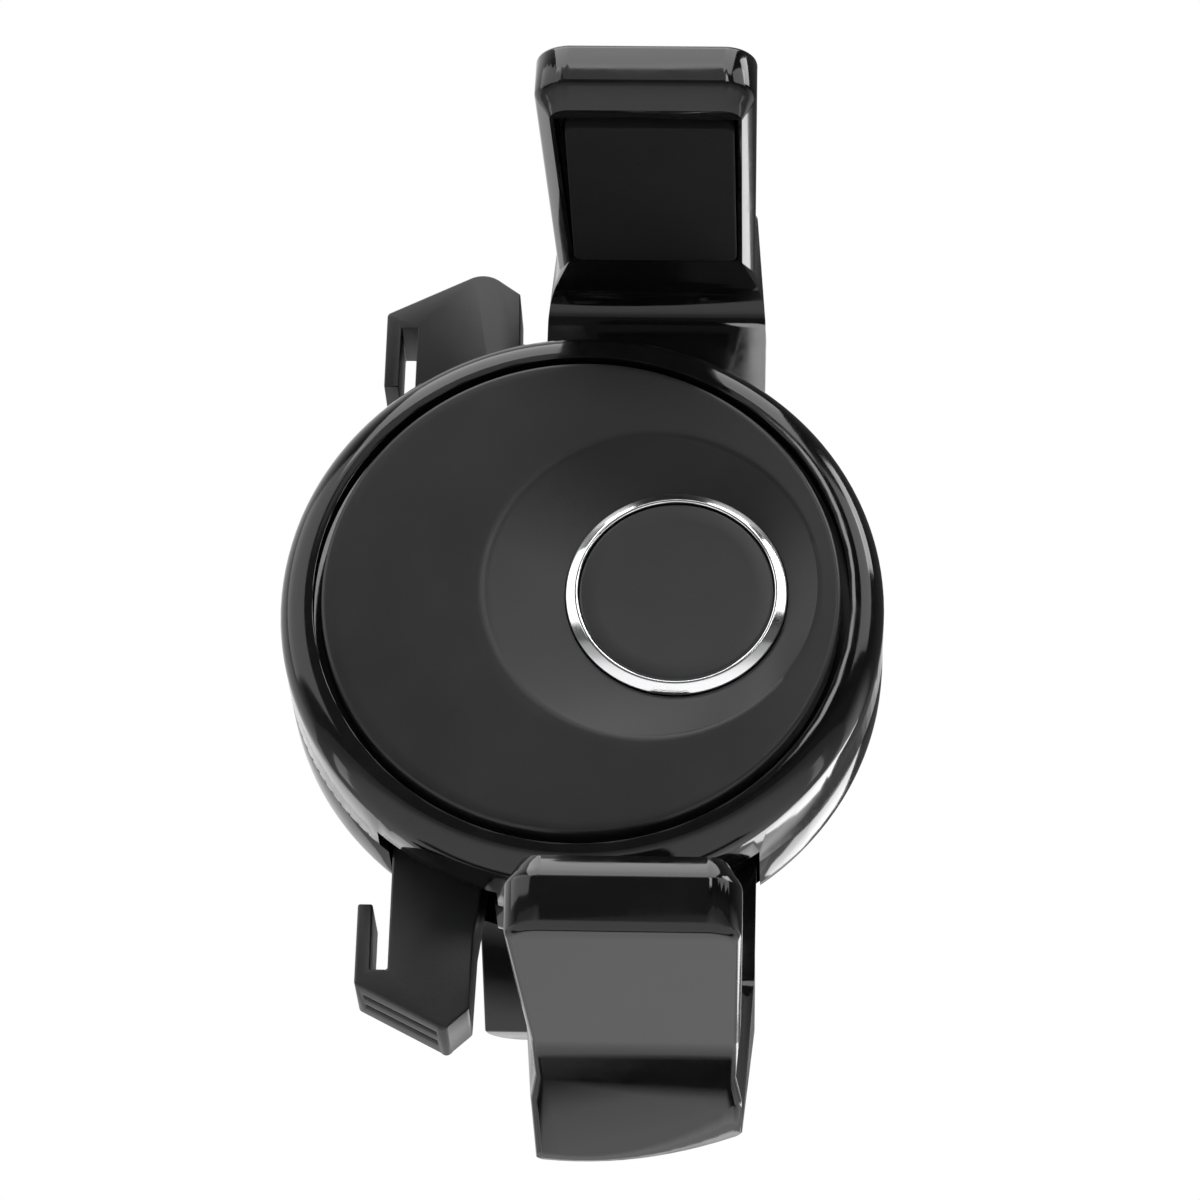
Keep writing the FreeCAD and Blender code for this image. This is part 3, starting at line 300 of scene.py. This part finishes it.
plate_sections = [(0, plate_back, 0, plate_radius), (0, plate_bevel, 0, plate_radius)]
for step in range(1, bevel_rings + 1):
    slant = math.radians(90 * step / bevel_rings)
    plate_sections.append((0, plate_bevel * (1 - math.sin(slant)), 0,
                           plate_radius - plate_bevel * (1 - math.cos(slant))))
bevel_inside = plate_radius - plate_bevel
mouth_radius = dish_radius + mouth_round
for step in range(flat_rings + 1):
    share = step / flat_rings
    plate_sections.append((dish_centre[0] * share, 0, dish_centre[1] * share,
                           bevel_inside + (mouth_radius - bevel_inside) * share))
for step in range(1, dish_rings + 1):
    share = (step / dish_rings) ** dish_spacing
    fall = dish_depth * ((1 + dish_hollow) * share - dish_hollow * share * share)
    if step == 1:
        fall *= first_fall
    plate_sections.append((
        dish_centre[0] + (button_centre[0] - dish_centre[0]) * share, fall,
        dish_centre[1] + (button_centre[1] - dish_centre[1]) * share,
        dish_radius + (hole_radius - dish_radius) * share))
plate_sections += [(button_centre[0], plate_back, button_centre[1], hole_radius),
                   (0, plate_back, 0, plate_radius)]
face_plate = ring_shell("face_plate_dished", plate_sections)
pick(face_plate)
bpy.ops.object.shade_smooth_by_angle(angle=math.radians(30))
seat(face_plate, "face_plate", plate_finish)

# Front housing
# The glossy black front shell with its rounded rim and skirt, moulded in one. Its polish
# shows faint sink waves and the light smears that handling leaves on gloss plastic.


def make_polish_group():
    """Polished moulding: slow sink waves, handling smears and hairline swirl marks."""
    wave_scale = 120.0
    wave_height = 0.00006
    smear_scale = 210.0
    hairline_scale = 1600.0
    hairline_stretch = (1.0, 1.0, 9.0)
    hairline_turn = (0.5, 0.3, 0.2)
    hairline_share = 0.12
    group, way_in, way_out = new_group(
        "Polished moulding",
        [("Waves", "NodeSocketFloat", 0.08), ("Polish", "NodeSocketFloat", 0.1),
         ("Smears", "NodeSocketFloat", 0.2)],
        [("Roughness", "NodeSocketFloat"), ("Normal", "NodeSocketVector"),
         ("Smear", "NodeSocketFloat")])
    place = add_node(group, "TexCoord").outputs["Object"]
    waves = noise(group, place, wave_scale, 1.0)
    smear = noise(group, place, smear_scale, 5.0, 0.7)
    stretched = add_node(group, "Mapping")
    stretched.inputs["Scale"].default_value = hairline_stretch
    stretched.inputs["Rotation"].default_value = hairline_turn
    group.links.new(place, stretched.inputs["Vector"])
    hairlines = noise(group, stretched.outputs["Vector"], hairline_scale, 2.0, 0.8)
    added = add_node(group, "Math", operation="MULTIPLY_ADD")
    group.links.new(hairlines.outputs["Fac"], added.inputs[0])
    added.inputs[1].default_value = hairline_share
    group.links.new(waves.outputs["Fac"], added.inputs[2])
    bump = add_node(group, "Bump")
    bump.inputs["Distance"].default_value = wave_height
    group.links.new(way_in.outputs["Waves"], bump.inputs["Strength"])
    group.links.new(added.outputs[0], bump.inputs["Height"])
    rough = spread(group, smear.outputs["Fac"],
                   way_in.outputs["Polish"], way_in.outputs["Smears"], 0.42, 0.72)
    group.links.new(rough, way_out.inputs["Roughness"])
    group.links.new(bump.outputs["Normal"], way_out.inputs["Normal"])
    group.links.new(smear.outputs["Fac"], way_out.inputs["Smear"])
    return group


polish_group = make_polish_group()


def polished_finish(name, tint, dusted, waves, polish, smears):
    """Gloss plastic: a deep colour that pales a little where it is smeared."""
    material, tree, shader = blank_finish(name, tint)
    coat = add_node(tree, "Group")
    coat.node_tree = polish_group
    for label, value in (("Waves", waves), ("Polish", polish), ("Smears", smears)):
        coat.inputs[label].default_value = value
    ramp = add_node(tree, "ValToRGB")
    ramp.color_ramp.elements[0].position = 0.45
    ramp.color_ramp.elements[0].color = (*tint, 1)
    ramp.color_ramp.elements[1].position = 0.8
    ramp.color_ramp.elements[1].color = (*dusted, 1)
    tree.links.new(coat.outputs["Smear"], ramp.inputs["Fac"])
    tree.links.new(ramp.outputs["Color"], shader.inputs["Base Color"])
    tree.links.new(coat.outputs["Roughness"], shader.inputs["Roughness"])
    tree.links.new(coat.outputs["Normal"], shader.inputs["Normal"])
    return material


gloss_finish = polished_finish("gloss_black_plastic", (0.0035, 0.0035, 0.0038),
                               (0.0060, 0.0060, 0.0063), 0.06, 0.07, 0.15)
front_housing = moulded("front_housing", 0.00012)
seat(front_housing, "front_housing", gloss_finish)

# Chassis plate
# The inner plate between the shells, left as moulded, that guides the button's stem.
inner_finish = grained_finish("inner_black_plastic", (0.010, 0.010, 0.010), (0.014, 0.014, 0.014),
                              3800.0, 0.3, 0.5, 0.62)
chassis_plate = moulded("chassis_plate", 0.0001)
seat(chassis_plate, "chassis_plate", inner_finish)

# Button cap
# The round satin cap that a thumb presses, turned from the plate's own plastic colour. Its
# face is very slightly hollow, and it sits in the bright trim with a hairline gap.


def select_faces(piece, chosen):
    """Selects the faces that pass a test and leaves the piece in edit mode."""
    pick(piece)
    bpy.ops.object.mode_set(mode="EDIT")
    bpy.ops.mesh.select_all(action="DESELECT")
    bpy.ops.object.mode_set(mode="OBJECT")
    bpy.context.tool_settings.mesh_select_mode = (False, False, True)
    for face in piece.data.polygons:
        face.select = chosen(face)
    bpy.ops.object.mode_set(mode="EDIT")


def bake_place(piece):
    """Moves the piece's place into its mesh, with its object at the origin."""
    pick(piece)
    bpy.ops.object.transform_apply(location=True, rotation=True, scale=True)


trim_low, trim_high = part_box("button_trim")
trim_radius = (trim_high.x - trim_low.x) / 2
cap_radius = 0.00905
cap_flange = (cap_high.x - cap_low.x) / 2
stem_radius = 0.0024


def turned(name, profile, around, sides=128):
    """A piece turned about the Y axis from a profile of (radius, depth) points."""
    deselect()
    bpy.ops.mesh.primitive_plane_add(size=1)
    piece = bpy.context.object
    piece.name = name
    bpy.ops.object.mode_set(mode="EDIT")
    bpy.ops.mesh.delete(type="ONLY_FACE")
    bpy.ops.mesh.delete(type="VERT")
    bpy.ops.object.mode_set(mode="OBJECT")
    line = bpy.data.meshes.new(name)
    points = [(radius, depth, 0) for radius, depth in profile]
    line.from_pydata(points, [(i, i + 1) for i in range(len(points) - 1)], [])
    piece.data = line
    pick(piece)
    bpy.ops.object.mode_set(mode="EDIT")
    bpy.ops.mesh.select_all(action="SELECT")
    bpy.ops.mesh.spin(steps=sides, angle=2 * math.pi, center=(0, 0, 0), axis=(0, 1, 0))
    bpy.ops.mesh.select_all(action="SELECT")
    bpy.ops.mesh.remove_doubles(threshold=1e-6)
    bpy.ops.mesh.normals_make_consistent(inside=False)
    bpy.ops.object.mode_set(mode="OBJECT")
    piece.location = (around[0], 0, around[1])
    bake_place(piece)
    return piece


def arc(centre, radius, start, end, steps):
    """Points on a quarter or other arc of a profile, angles in degrees."""
    return [(centre[0] + radius * math.cos(math.radians(start + (end - start) * i / steps)),
             centre[1] + radius * math.sin(math.radians(start + (end - start) * i / steps)))
            for i in range(steps + 1)]


cap_face = cap_low.y
cap_end = cap_high.y
cap_round = 0.00035
cap_hollow = 0.00009
flange_front = cap_face + 0.0013
flange_back = cap_face + 0.0022
stem_chamfer = 0.0003
button_cap = turned("button_cap_turned", [
    (0, cap_face + cap_hollow), (cap_radius * 0.5, cap_face + cap_hollow * 7 / 9),
    (cap_radius * 0.8, cap_face + cap_hollow / 3),
    *arc((cap_radius - cap_round, cap_face + cap_round), cap_round, -90, 0, 5),
    (cap_radius, flange_front), (cap_flange, flange_front), (cap_flange, flange_back),
    (stem_radius, flange_back), (stem_radius, cap_end - stem_chamfer),
    (stem_radius - stem_chamfer, cap_end), (0, cap_end)], button_centre)
pick(button_cap)
bpy.ops.object.shade_smooth_by_angle(angle=math.radians(32))
cap_finish = grained_finish("cap_satin", (0.0130, 0.0130, 0.0135), (0.0150, 0.0150, 0.0155),
                            5600.0, 0.18, 0.33, 0.38)
seat(button_cap, "button_cap", cap_finish)

# Button trim
# The bright ring pressed on the cap: plated plastic with a rolled front edge and a plain
# outer wall, polished all round so that hairlines run with the turning.
trim_inner = cap_radius + 0.00005
trim_front = trim_low.y
inner_roll = 0.00012
front_roll = 0.00030
front_roll_inset = 0.00022
outer_roll = 0.00024
outer_roll_depth = 0.00070
button_trim = turned("button_trim_rolled", [
    (trim_inner, trim_high.y), (trim_inner, trim_front + 0.00025),
    *arc((trim_inner + inner_roll, trim_front + inner_roll), inner_roll, 180, 270, 3),
    *arc((trim_inner + front_roll_inset, trim_front + front_roll), front_roll, -90, -60, 3),
    *arc((trim_radius - outer_roll, trim_front + outer_roll_depth), outer_roll, -60, 0, 4),
    (trim_radius, trim_high.y), (trim_inner, trim_high.y)], button_centre, 160)
pick(button_trim)
bpy.ops.object.shade_smooth_by_angle(angle=math.radians(40))


def bright_finish():
    material, tree, shader = blank_finish("plated_bright", (0.86, 0.86, 0.87))
    shader.inputs["Metallic"].default_value = 1.0
    place = add_node(tree, "TexCoord").outputs["Object"]
    centred = add_node(tree, "Mapping")
    centred.inputs["Location"].default_value = (-button_centre[0], 0, -button_centre[1])
    tree.links.new(place, centred.inputs["Vector"])
    rings = add_node(tree, "TexWave", wave_type="RINGS", rings_direction="Y")
    rings.inputs["Scale"].default_value = 2600.0
    rings.inputs["Distortion"].default_value = 3.0
    rings.inputs["Detail"].default_value = 3.0
    tree.links.new(centred.outputs["Vector"], rings.inputs["Vector"])
    smear = noise(tree, place, 420.0, 4.0)
    tree.links.new(spread(tree, smear.outputs["Fac"], 0.05, 0.16), shader.inputs["Roughness"])
    bump = add_node(tree, "Bump")
    bump.inputs["Strength"].default_value = 0.05
    bump.inputs["Distance"].default_value = 0.00002
    tree.links.new(rings.outputs["Fac"], bump.inputs["Height"])
    tree.links.new(bump.outputs["Normal"], shader.inputs["Normal"])
    return material


plated_bright = bright_finish()
seat(button_trim, "button_trim", plated_bright)

# Back housing
# The glossy back shell with the windows for arms and tabs and the split ball socket.
back_housing = moulded("back_housing", 0.00012)
seat(back_housing, "back_housing", gloss_finish)

# Clamp arms
# Two gloss black arms with a flared heel, a bevelled gripping face and a toothed bar that
# runs inside the housing. Both are the same moulding, facing each other.
arm_middle = 0.006
arm_root_depth = 0.0104
arm_front_depth = -0.0265
arm_inner_height = 0.0385
arm_swell = 0.0011
end_draft = 0.0009
end_face_depth = arm_front_depth + 0.0035
draft_rise = 0.004
bevel_height = 0.0009
bevel_start = -0.018
bevel_run = 0.005
bevel_inner = 0.0366
bevel_rise = 0.0013
tip_half_width = 0.0095
tip_gain_left = 0.0011
tip_gain_right = 0.0003
tip_gain_depth = -0.006
heel_start = 0.036
heel_height = 0.0487
heel_taper = 0.12
heel_front_depth = -0.002
heel_run = 0.012
tray_half_width = 0.0079
tray_height = 0.038
tray_back_depth = -0.0001
tray_longer = 0.0026
tray_gap = 0.0011
near = 0.00005


def shape_arm(arm, side):
    """Swells the tip, drafts its end face, widens its flanks and draws the heel in."""
    for vertex in arm.data.vertices:
        place = vertex.co
        height = abs(place.z)
        heel_share = min(1, (height - heel_start) / (heel_height - heel_start))
        at_tray_end = abs(place.y - tray_back_depth) < near and height < tray_height
        if at_tray_end and abs(place.x - arm_middle) < tray_half_width:
            place.y += tray_longer
        if place.y > arm_root_depth:
            if height > heel_start:
                place.x = arm_middle + (place.x - arm_middle) * (1 - heel_taper * heel_share)
            continue
        forward = (arm_root_depth - place.y) / (arm_root_depth - arm_front_depth)
        if height > arm_inner_height:
            place.z += side * arm_swell * forward
            if place.y < end_face_depth:
                place.y += end_draft * min(1, (height - arm_inner_height) / draft_rise)
        elif height > bevel_inner and place.y < bevel_start:
            drop = min(1, (height - bevel_inner) / bevel_rise)
            drop *= min(1, (bevel_start - place.y) / bevel_run)
            place.z += side * bevel_height * drop
        if place.y < tip_gain_depth:
            share = (tip_gain_depth - place.y) / (tip_gain_depth - arm_front_depth)
            share = share * share * (3 - 2 * share)
            off_middle = (place.x - arm_middle) / tip_half_width
            gain = tip_gain_right if off_middle > 0 else tip_gain_left
            place.x += gain * share * min(1, max(-1, off_middle))
        if height > heel_start and place.y > heel_front_depth:
            share = heel_share * min(1, (place.y - heel_front_depth) / heel_run)
            place.x = arm_middle + (place.x - arm_middle) * (1 - heel_taper * share)


for node, side in (("upper_arm", 1), ("lower_arm", -1)):
    arm = clean_copy(node, node + "_shaped")
    shape_arm(arm, side)
    soften(arm, 0.0001)
    seat(arm, node, gloss_finish)

# Arm pads
# Soft black rubber pads glued in the arms' trays. Each is cut flat with rounded corners, a
# softened edge and a step around its gripping face, and is matt so that the phone doesn't slip.
rubber_finish = grained_finish("grip_rubber", (0.0040, 0.0040, 0.0040), (0.0060, 0.0060, 0.0060),
                               2600.0, 0.5, 0.72, 0.86)
rubber_finish.node_tree.nodes["Principled BSDF"].inputs["Specular IOR Level"].default_value = 0.25
pad_corner = 0.0009
pad_border = 0.0003
pad_edge = 0.00015


def make_pad(node, name):
    """A pad in its tray, grown to the tray's new length, with its grip face set off."""
    low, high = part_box(node)
    low.y += tray_gap
    high.y += tray_longer
    faces_up = low.z < 0
    deselect()
    bpy.ops.mesh.primitive_cube_add(size=1, location=(low + high) / 2, scale=high - low)
    pad = bpy.context.object
    pad.name = name
    bake_place(pad)
    pad.data.materials.clear()
    grip = high.z if faces_up else low.z
    bpy.context.tool_settings.mesh_select_mode = (False, True, False)
    for edge in pad.data.edges:
        a, b = (pad.data.vertices[i].co for i in edge.vertices)
        edge.select = abs(a.z - b.z) > 1e-6
    for face in pad.data.polygons:
        face.select = False
    for vertex in pad.data.vertices:
        vertex.select = False
    bpy.ops.object.mode_set(mode="EDIT")
    bpy.ops.mesh.bevel(offset=pad_corner, segments=6, affect="EDGES")
    bpy.ops.object.mode_set(mode="OBJECT")
    select_faces(pad, lambda face: abs(face.normal.z) > 0.9 and abs(face.center.z - grip) < 1e-5)
    bpy.ops.mesh.inset(thickness=pad_border)
    bpy.ops.object.mode_set(mode="OBJECT")
    apply_modifier(pad, "BEVEL", width=pad_edge, segments=3, limit_method="ANGLE",
                   angle_limit=math.radians(50))
    pick(pad)
    bpy.ops.object.shade_smooth_by_angle(angle=math.radians(35))
    return pad


for node, name in (("upper_arm_pad", "upper_grip_pad"), ("lower_arm_pad", "lower_grip_pad")):
    seat(make_pad(node, name), node, rubber_finish)

# Arm gear
# The white acetal pinion between the two racks, on a ground steel pin.
acetal_finish = grained_finish("natural_acetal", (0.66, 0.66, 0.62), (0.74, 0.74, 0.71),
                               2400.0, 0.15, 0.34, 0.46)
seat(moulded("arm_pinion", 0.00006), "arm_pinion", acetal_finish)


def steel_finish_for(name, tint, low, high):
    material, tree, shader = blank_finish(name, tint)
    shader.inputs["Metallic"].default_value = 1.0
    place = add_node(tree, "TexCoord").outputs["Object"]
    drawn = add_node(tree, "Mapping")
    drawn.inputs["Scale"].default_value = (1.0, 12.0, 1.0)
    tree.links.new(place, drawn.inputs["Vector"])
    lines = noise(tree, drawn.outputs["Vector"], 1500.0, 4.0, 0.7)
    tree.links.new(spread(tree, lines.outputs["Fac"], low, high), shader.inputs["Roughness"])
    bump = add_node(tree, "Bump")
    bump.inputs["Strength"].default_value = 0.12
    bump.inputs["Distance"].default_value = 0.00002
    tree.links.new(lines.outputs["Fac"], bump.inputs["Height"])
    tree.links.new(bump.outputs["Normal"], shader.inputs["Normal"])
    return material


steel_finish = steel_finish_for("drawn_steel", (0.56, 0.56, 0.57), 0.2, 0.36)
seat(moulded("pinion_pin", 0.0001), "pinion_pin", steel_finish)

# Release tabs
# Two flat satin black levers with a hooked stop and grooved thumb ends. They slide in the
# housing's side windows, and their edges are softened where a thumb pulls them.
tab_finish = grained_finish("tab_satin", (0.0110, 0.0110, 0.0115), (0.0135, 0.0135, 0.0140),
                            4600.0, 0.25, 0.3, 0.4)
tab_head_height = 0.0275
tab_trim_start = -0.0125
tab_trim_run = 0.0035
for node, tab_trim in (("upper_release_tab", -0.0004), ("lower_release_tab", 0.0018)):
    tab = clean_copy(node, node + "_shaped")
    for vertex in tab.data.vertices:
        place = vertex.co
        if abs(place.z) > tab_head_height and place.x > tab_trim_start:
            place.x -= tab_trim * min(1, (place.x - tab_trim_start) / tab_trim_run)
    soften(tab, 0.00022, 3)
    seat(tab, node, tab_finish)

# Latch and inner springs
# The latch bar that catches the lower arm's fine teeth, with the springs of drawn wire
# behind it, under the tabs, beside the arm and under the button.
seat(moulded("latch", 0.0001), "latch", inner_finish)


def make_spring(node):
    """A spring of drawn wire, shaded round, with its finish and a mesh of its own."""
    spring = moulded(node, 0, crease=75)
    seat(spring, node, steel_finish)
    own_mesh(spring)


make_spring("button_spring")
make_spring("arm_spring")
make_spring("upper_tab_spring")
make_spring("lower_tab_spring")
make_spring("latch_spring")

# Housing screws
# Four small pan-head screws that draw the two shells together from behind.
seat(moulded("housing_screws", 0.00008), "housing_screws", steel_finish)

# Ball liners and lock nut
# Two white liners let the ball turn smoothly in the split socket, and a gloss black nut
# with thumb scallops squeezes it.
for node in ("ball_liner_cup", "ball_liner_ring"):
    seat(moulded(node, 0.00008), node, acetal_finish)
seat(moulded("lock_nut", 0.0002, 3), "lock_nut", gloss_finish)

# Vent clip
# The ball, neck and upper jaw are one gloss moulding. The lever below turns on a steel
# pin against a torsion spring, and both jaws carry rubber pads for the vent's blade.
seat(moulded("clip_body", 0.00018, 3), "clip_body", gloss_finish)
seat(moulded("clip_lever", 0.00018, 3), "clip_lever", gloss_finish)
for node in ("upper_jaw_pad", "lower_jaw_pad"):
    seat(moulded(node, 0.0001), node, rubber_finish)
seat(moulded("clip_pin", 0.0001), "clip_pin", steel_finish)
seat(moulded("clip_spring", 0, crease=75), "clip_spring", steel_finish)

# Studio
# A pale floor below the holder, a white surround for the camera, soft boxes around it and
# a black card that draws the arm's bend. The floor keeps the holder's shadow.
bpy.context.scene.view_settings.view_transform = "Standard"
floor_height = cad_low.z - 0.23
floor_glow_strength = 0.45
ambient_strength = 0.45
flag_depth = 0.9
deselect()
bpy.ops.mesh.primitive_plane_add(size=6, location=(0, 0, floor_height))
floor = bpy.context.object
floor.name = "studio_floor"
bake_place(floor)
floor_paint, floor_tree, floor_shader = blank_finish("pale_floor", (0.80, 0.80, 0.80))
floor_shader.inputs["Roughness"].default_value = 0.9
floor_shader.inputs["Specular IOR Level"].default_value = 0.1
floor_shader.inputs["Emission Color"].default_value = (1, 1, 1, 1)
floor_path = add_node(floor_tree, "LightPath")
floor_glow = add_node(floor_tree, "Math", operation="MULTIPLY")
floor_tree.links.new(floor_path.outputs["Is Camera Ray"], floor_glow.inputs[0])
floor_glow.inputs[1].default_value = floor_glow_strength
floor_tree.links.new(floor_glow.outputs[0], floor_shader.inputs["Emission Strength"])
floor.data.materials.append(floor_paint)


def make_surround():
    """White to the camera, and in reflections a white room behind the holder.

    In front of the holder the room is dark, and a dark flag stands behind on the right.
    """
    world = bpy.data.worlds.new("studio_surround")
    bpy.context.scene.world = world
    world.use_nodes = True
    tree = world.node_tree
    shade = tree.nodes["Background"]
    shade.inputs["Color"].default_value = (1, 1, 1, 1)
    path = add_node(tree, "LightPath")
    parts = add_node(tree, "SeparateXYZ")
    tree.links.new(add_node(tree, "TexCoord").outputs["Generated"], parts.inputs["Vector"])
    room = spread(tree, parts.outputs["Y"], 0.10, 1.0, -0.25, 0.35)
    flag_across = spread(tree, parts.outputs["X"], 0.0, 1.0, 0.04, 0.16)
    flag_up = spread(tree, parts.outputs["Z"], 0.0, 1.0, 0.06, 0.2)
    flag = add_node(tree, "Math", operation="MULTIPLY")
    tree.links.new(flag_across, flag.inputs[0])
    tree.links.new(flag_up, flag.inputs[1])
    lit = add_node(tree, "Math", operation="MULTIPLY_ADD")
    tree.links.new(flag.outputs[0], lit.inputs[0])
    lit.inputs[1].default_value = -flag_depth
    lit.inputs[2].default_value = 1.0
    seen_in_gloss = add_node(tree, "Math", operation="MULTIPLY")
    tree.links.new(room, seen_in_gloss.inputs[0])
    tree.links.new(lit.outputs[0], seen_in_gloss.inputs[1])
    for_gloss = add_node(tree, "Math", operation="MAXIMUM")
    tree.links.new(path.outputs["Is Glossy Ray"], for_gloss.inputs[0])
    tree.links.new(path.outputs["Is Transmission Ray"], for_gloss.inputs[1])
    ambient = add_node(tree, "Mix", data_type="FLOAT")
    tree.links.new(for_gloss.outputs[0], ambient.inputs["Factor"])
    ambient.inputs["A"].default_value = ambient_strength
    tree.links.new(seen_in_gloss.outputs[0], ambient.inputs["B"])
    seen = add_node(tree, "Math", operation="MAXIMUM")
    tree.links.new(path.outputs["Is Camera Ray"], seen.inputs[0])
    tree.links.new(ambient.outputs["Result"], seen.inputs[1])
    tree.links.new(seen.outputs[0], shade.inputs["Strength"])


make_surround()


def black_card(name, place, tilt, width, height):
    """A black card that shows only in reflections, as a dark band with soft edges."""
    deselect()
    bpy.ops.mesh.primitive_plane_add(size=1, location=place,
                                     rotation=(math.radians(tilt), 0, 0))
    card = bpy.context.object
    card.name = name
    card.scale = (width, height, 1)
    bake_place(card)
    card.visible_camera = False
    card.visible_diffuse = False
    card.visible_shadow = False
    paint, tree, shader = blank_finish(name, (0.008, 0.008, 0.008))
    shader.inputs["Roughness"].default_value = 0.9
    parts = add_node(tree, "SeparateXYZ")
    tree.links.new(add_node(tree, "TexCoord").outputs["Generated"], parts.inputs["Vector"])
    off_middle = add_node(tree, "Math", operation="SUBTRACT")
    tree.links.new(parts.outputs["Y"], off_middle.inputs[0])
    off_middle.inputs[1].default_value = 0.5
    distance = add_node(tree, "Math", operation="ABSOLUTE")
    tree.links.new(off_middle.outputs[0], distance.inputs[0])
    tree.links.new(spread(tree, distance.outputs[0], 1.0, 0.0, 0.15, 0.5), shader.inputs["Alpha"])
    card.data.materials.append(paint)


black_card("bend_card", (0.006, 0.09, -0.2), 30, 0.4, 0.085)


def soft_box(name, direction, distance, width, height, radiance):
    """A rectangular lamp seen in a direction from the holder, as bright as its radiance."""
    lamp = bpy.data.lights.new(name, "AREA")
    lamp.shape = "RECTANGLE"
    lamp.size = width
    lamp.size_y = height
    lamp.energy = radiance * math.pi * width * height
    holder = bpy.data.objects.new(name, lamp)
    bpy.context.scene.collection.objects.link(holder)
    place = Vector(direction).normalized() * distance
    holder.location = place
    holder.rotation_mode = "QUATERNION"
    holder.rotation_quaternion = place.to_track_quat("Z", "Y")


soft_box("top_box", (-0.04, -0.36, 0.93), 0.8, 0.8, 0.7, 3.2)
soft_box("front_box", (-0.04, -0.76, 0.61), 0.9, 0.5, 0.30, 0.6)
soft_box("right_strip", (0.20, -0.87, 0.43), 0.8, 0.09, 0.3, 6.0)
soft_box("right_front_box", (0.71, -0.50, 0.50), 0.8, 0.50, 0.44, 2.1)
soft_box("right_box", (0.72, -0.10, 0.66), 0.8, 0.28, 0.32, 6.0)
soft_box("left_box", (-0.80, -0.40, 0.46), 0.8, 0.95, 0.6, 1.5)
soft_box("low_left_box", (-0.88, 0.15, -0.42), 0.8, 0.5, 0.3, 1.7)
soft_box("low_right_wall", (0.86, 0.10, -0.50), 0.8, 0.6, 0.4, 1.4)
soft_box("low_box", (-0.04, -0.50, -0.84), 0.5, 0.5, 0.25, 1.2)
soft_box("low_front_box", (-0.02, -0.80, -0.60), 0.6, 0.5, 0.10, 1.4)
soft_box("right_back_strip", (0.49, 0.87, -0.03), 0.8, 0.22, 0.3, 3.2)

# Camera
# It looks up at the holder from below and a little to the right, half a metre away.
camera_distance = 0.5
camera_azimuth = math.radians(2.81)
camera_elevation = math.radians(-25.27)
camera_roll = math.radians(1.87)
photo_width = 1200
scale_at_origin = 10850.0
origin_pixel = (580.5, 592.95)
sensor = 36.0

towards_camera = Vector((math.sin(camera_azimuth) * math.cos(camera_elevation),
                         -math.cos(camera_azimuth) * math.cos(camera_elevation),
                         math.sin(camera_elevation)))
level_right = (-towards_camera).cross(Vector((0, 0, 1))).normalized()
level_up = level_right.cross(-towards_camera)
right = level_right * math.cos(camera_roll) + level_up * math.sin(camera_roll)
up = -level_right * math.sin(camera_roll) + level_up * math.cos(camera_roll)
lens_data = bpy.data.cameras.new("photo_camera")
camera = bpy.data.objects.new("photo_camera", lens_data)
bpy.context.scene.collection.objects.link(camera)
turn = Matrix((right, up, towards_camera)).transposed().to_4x4()
camera.matrix_world = Matrix.Translation(towards_camera * camera_distance) @ turn
lens_data.sensor_width = sensor
lens_data.lens = camera_distance * scale_at_origin / photo_width * sensor
lens_data.shift_x = (photo_width / 2 - origin_pixel[0]) / photo_width
lens_data.shift_y = -(photo_width / 2 - origin_pixel[1]) / photo_width
lens_data.clip_start = 0.01
lens_data.clip_end = 20
bpy.context.scene.camera = camera
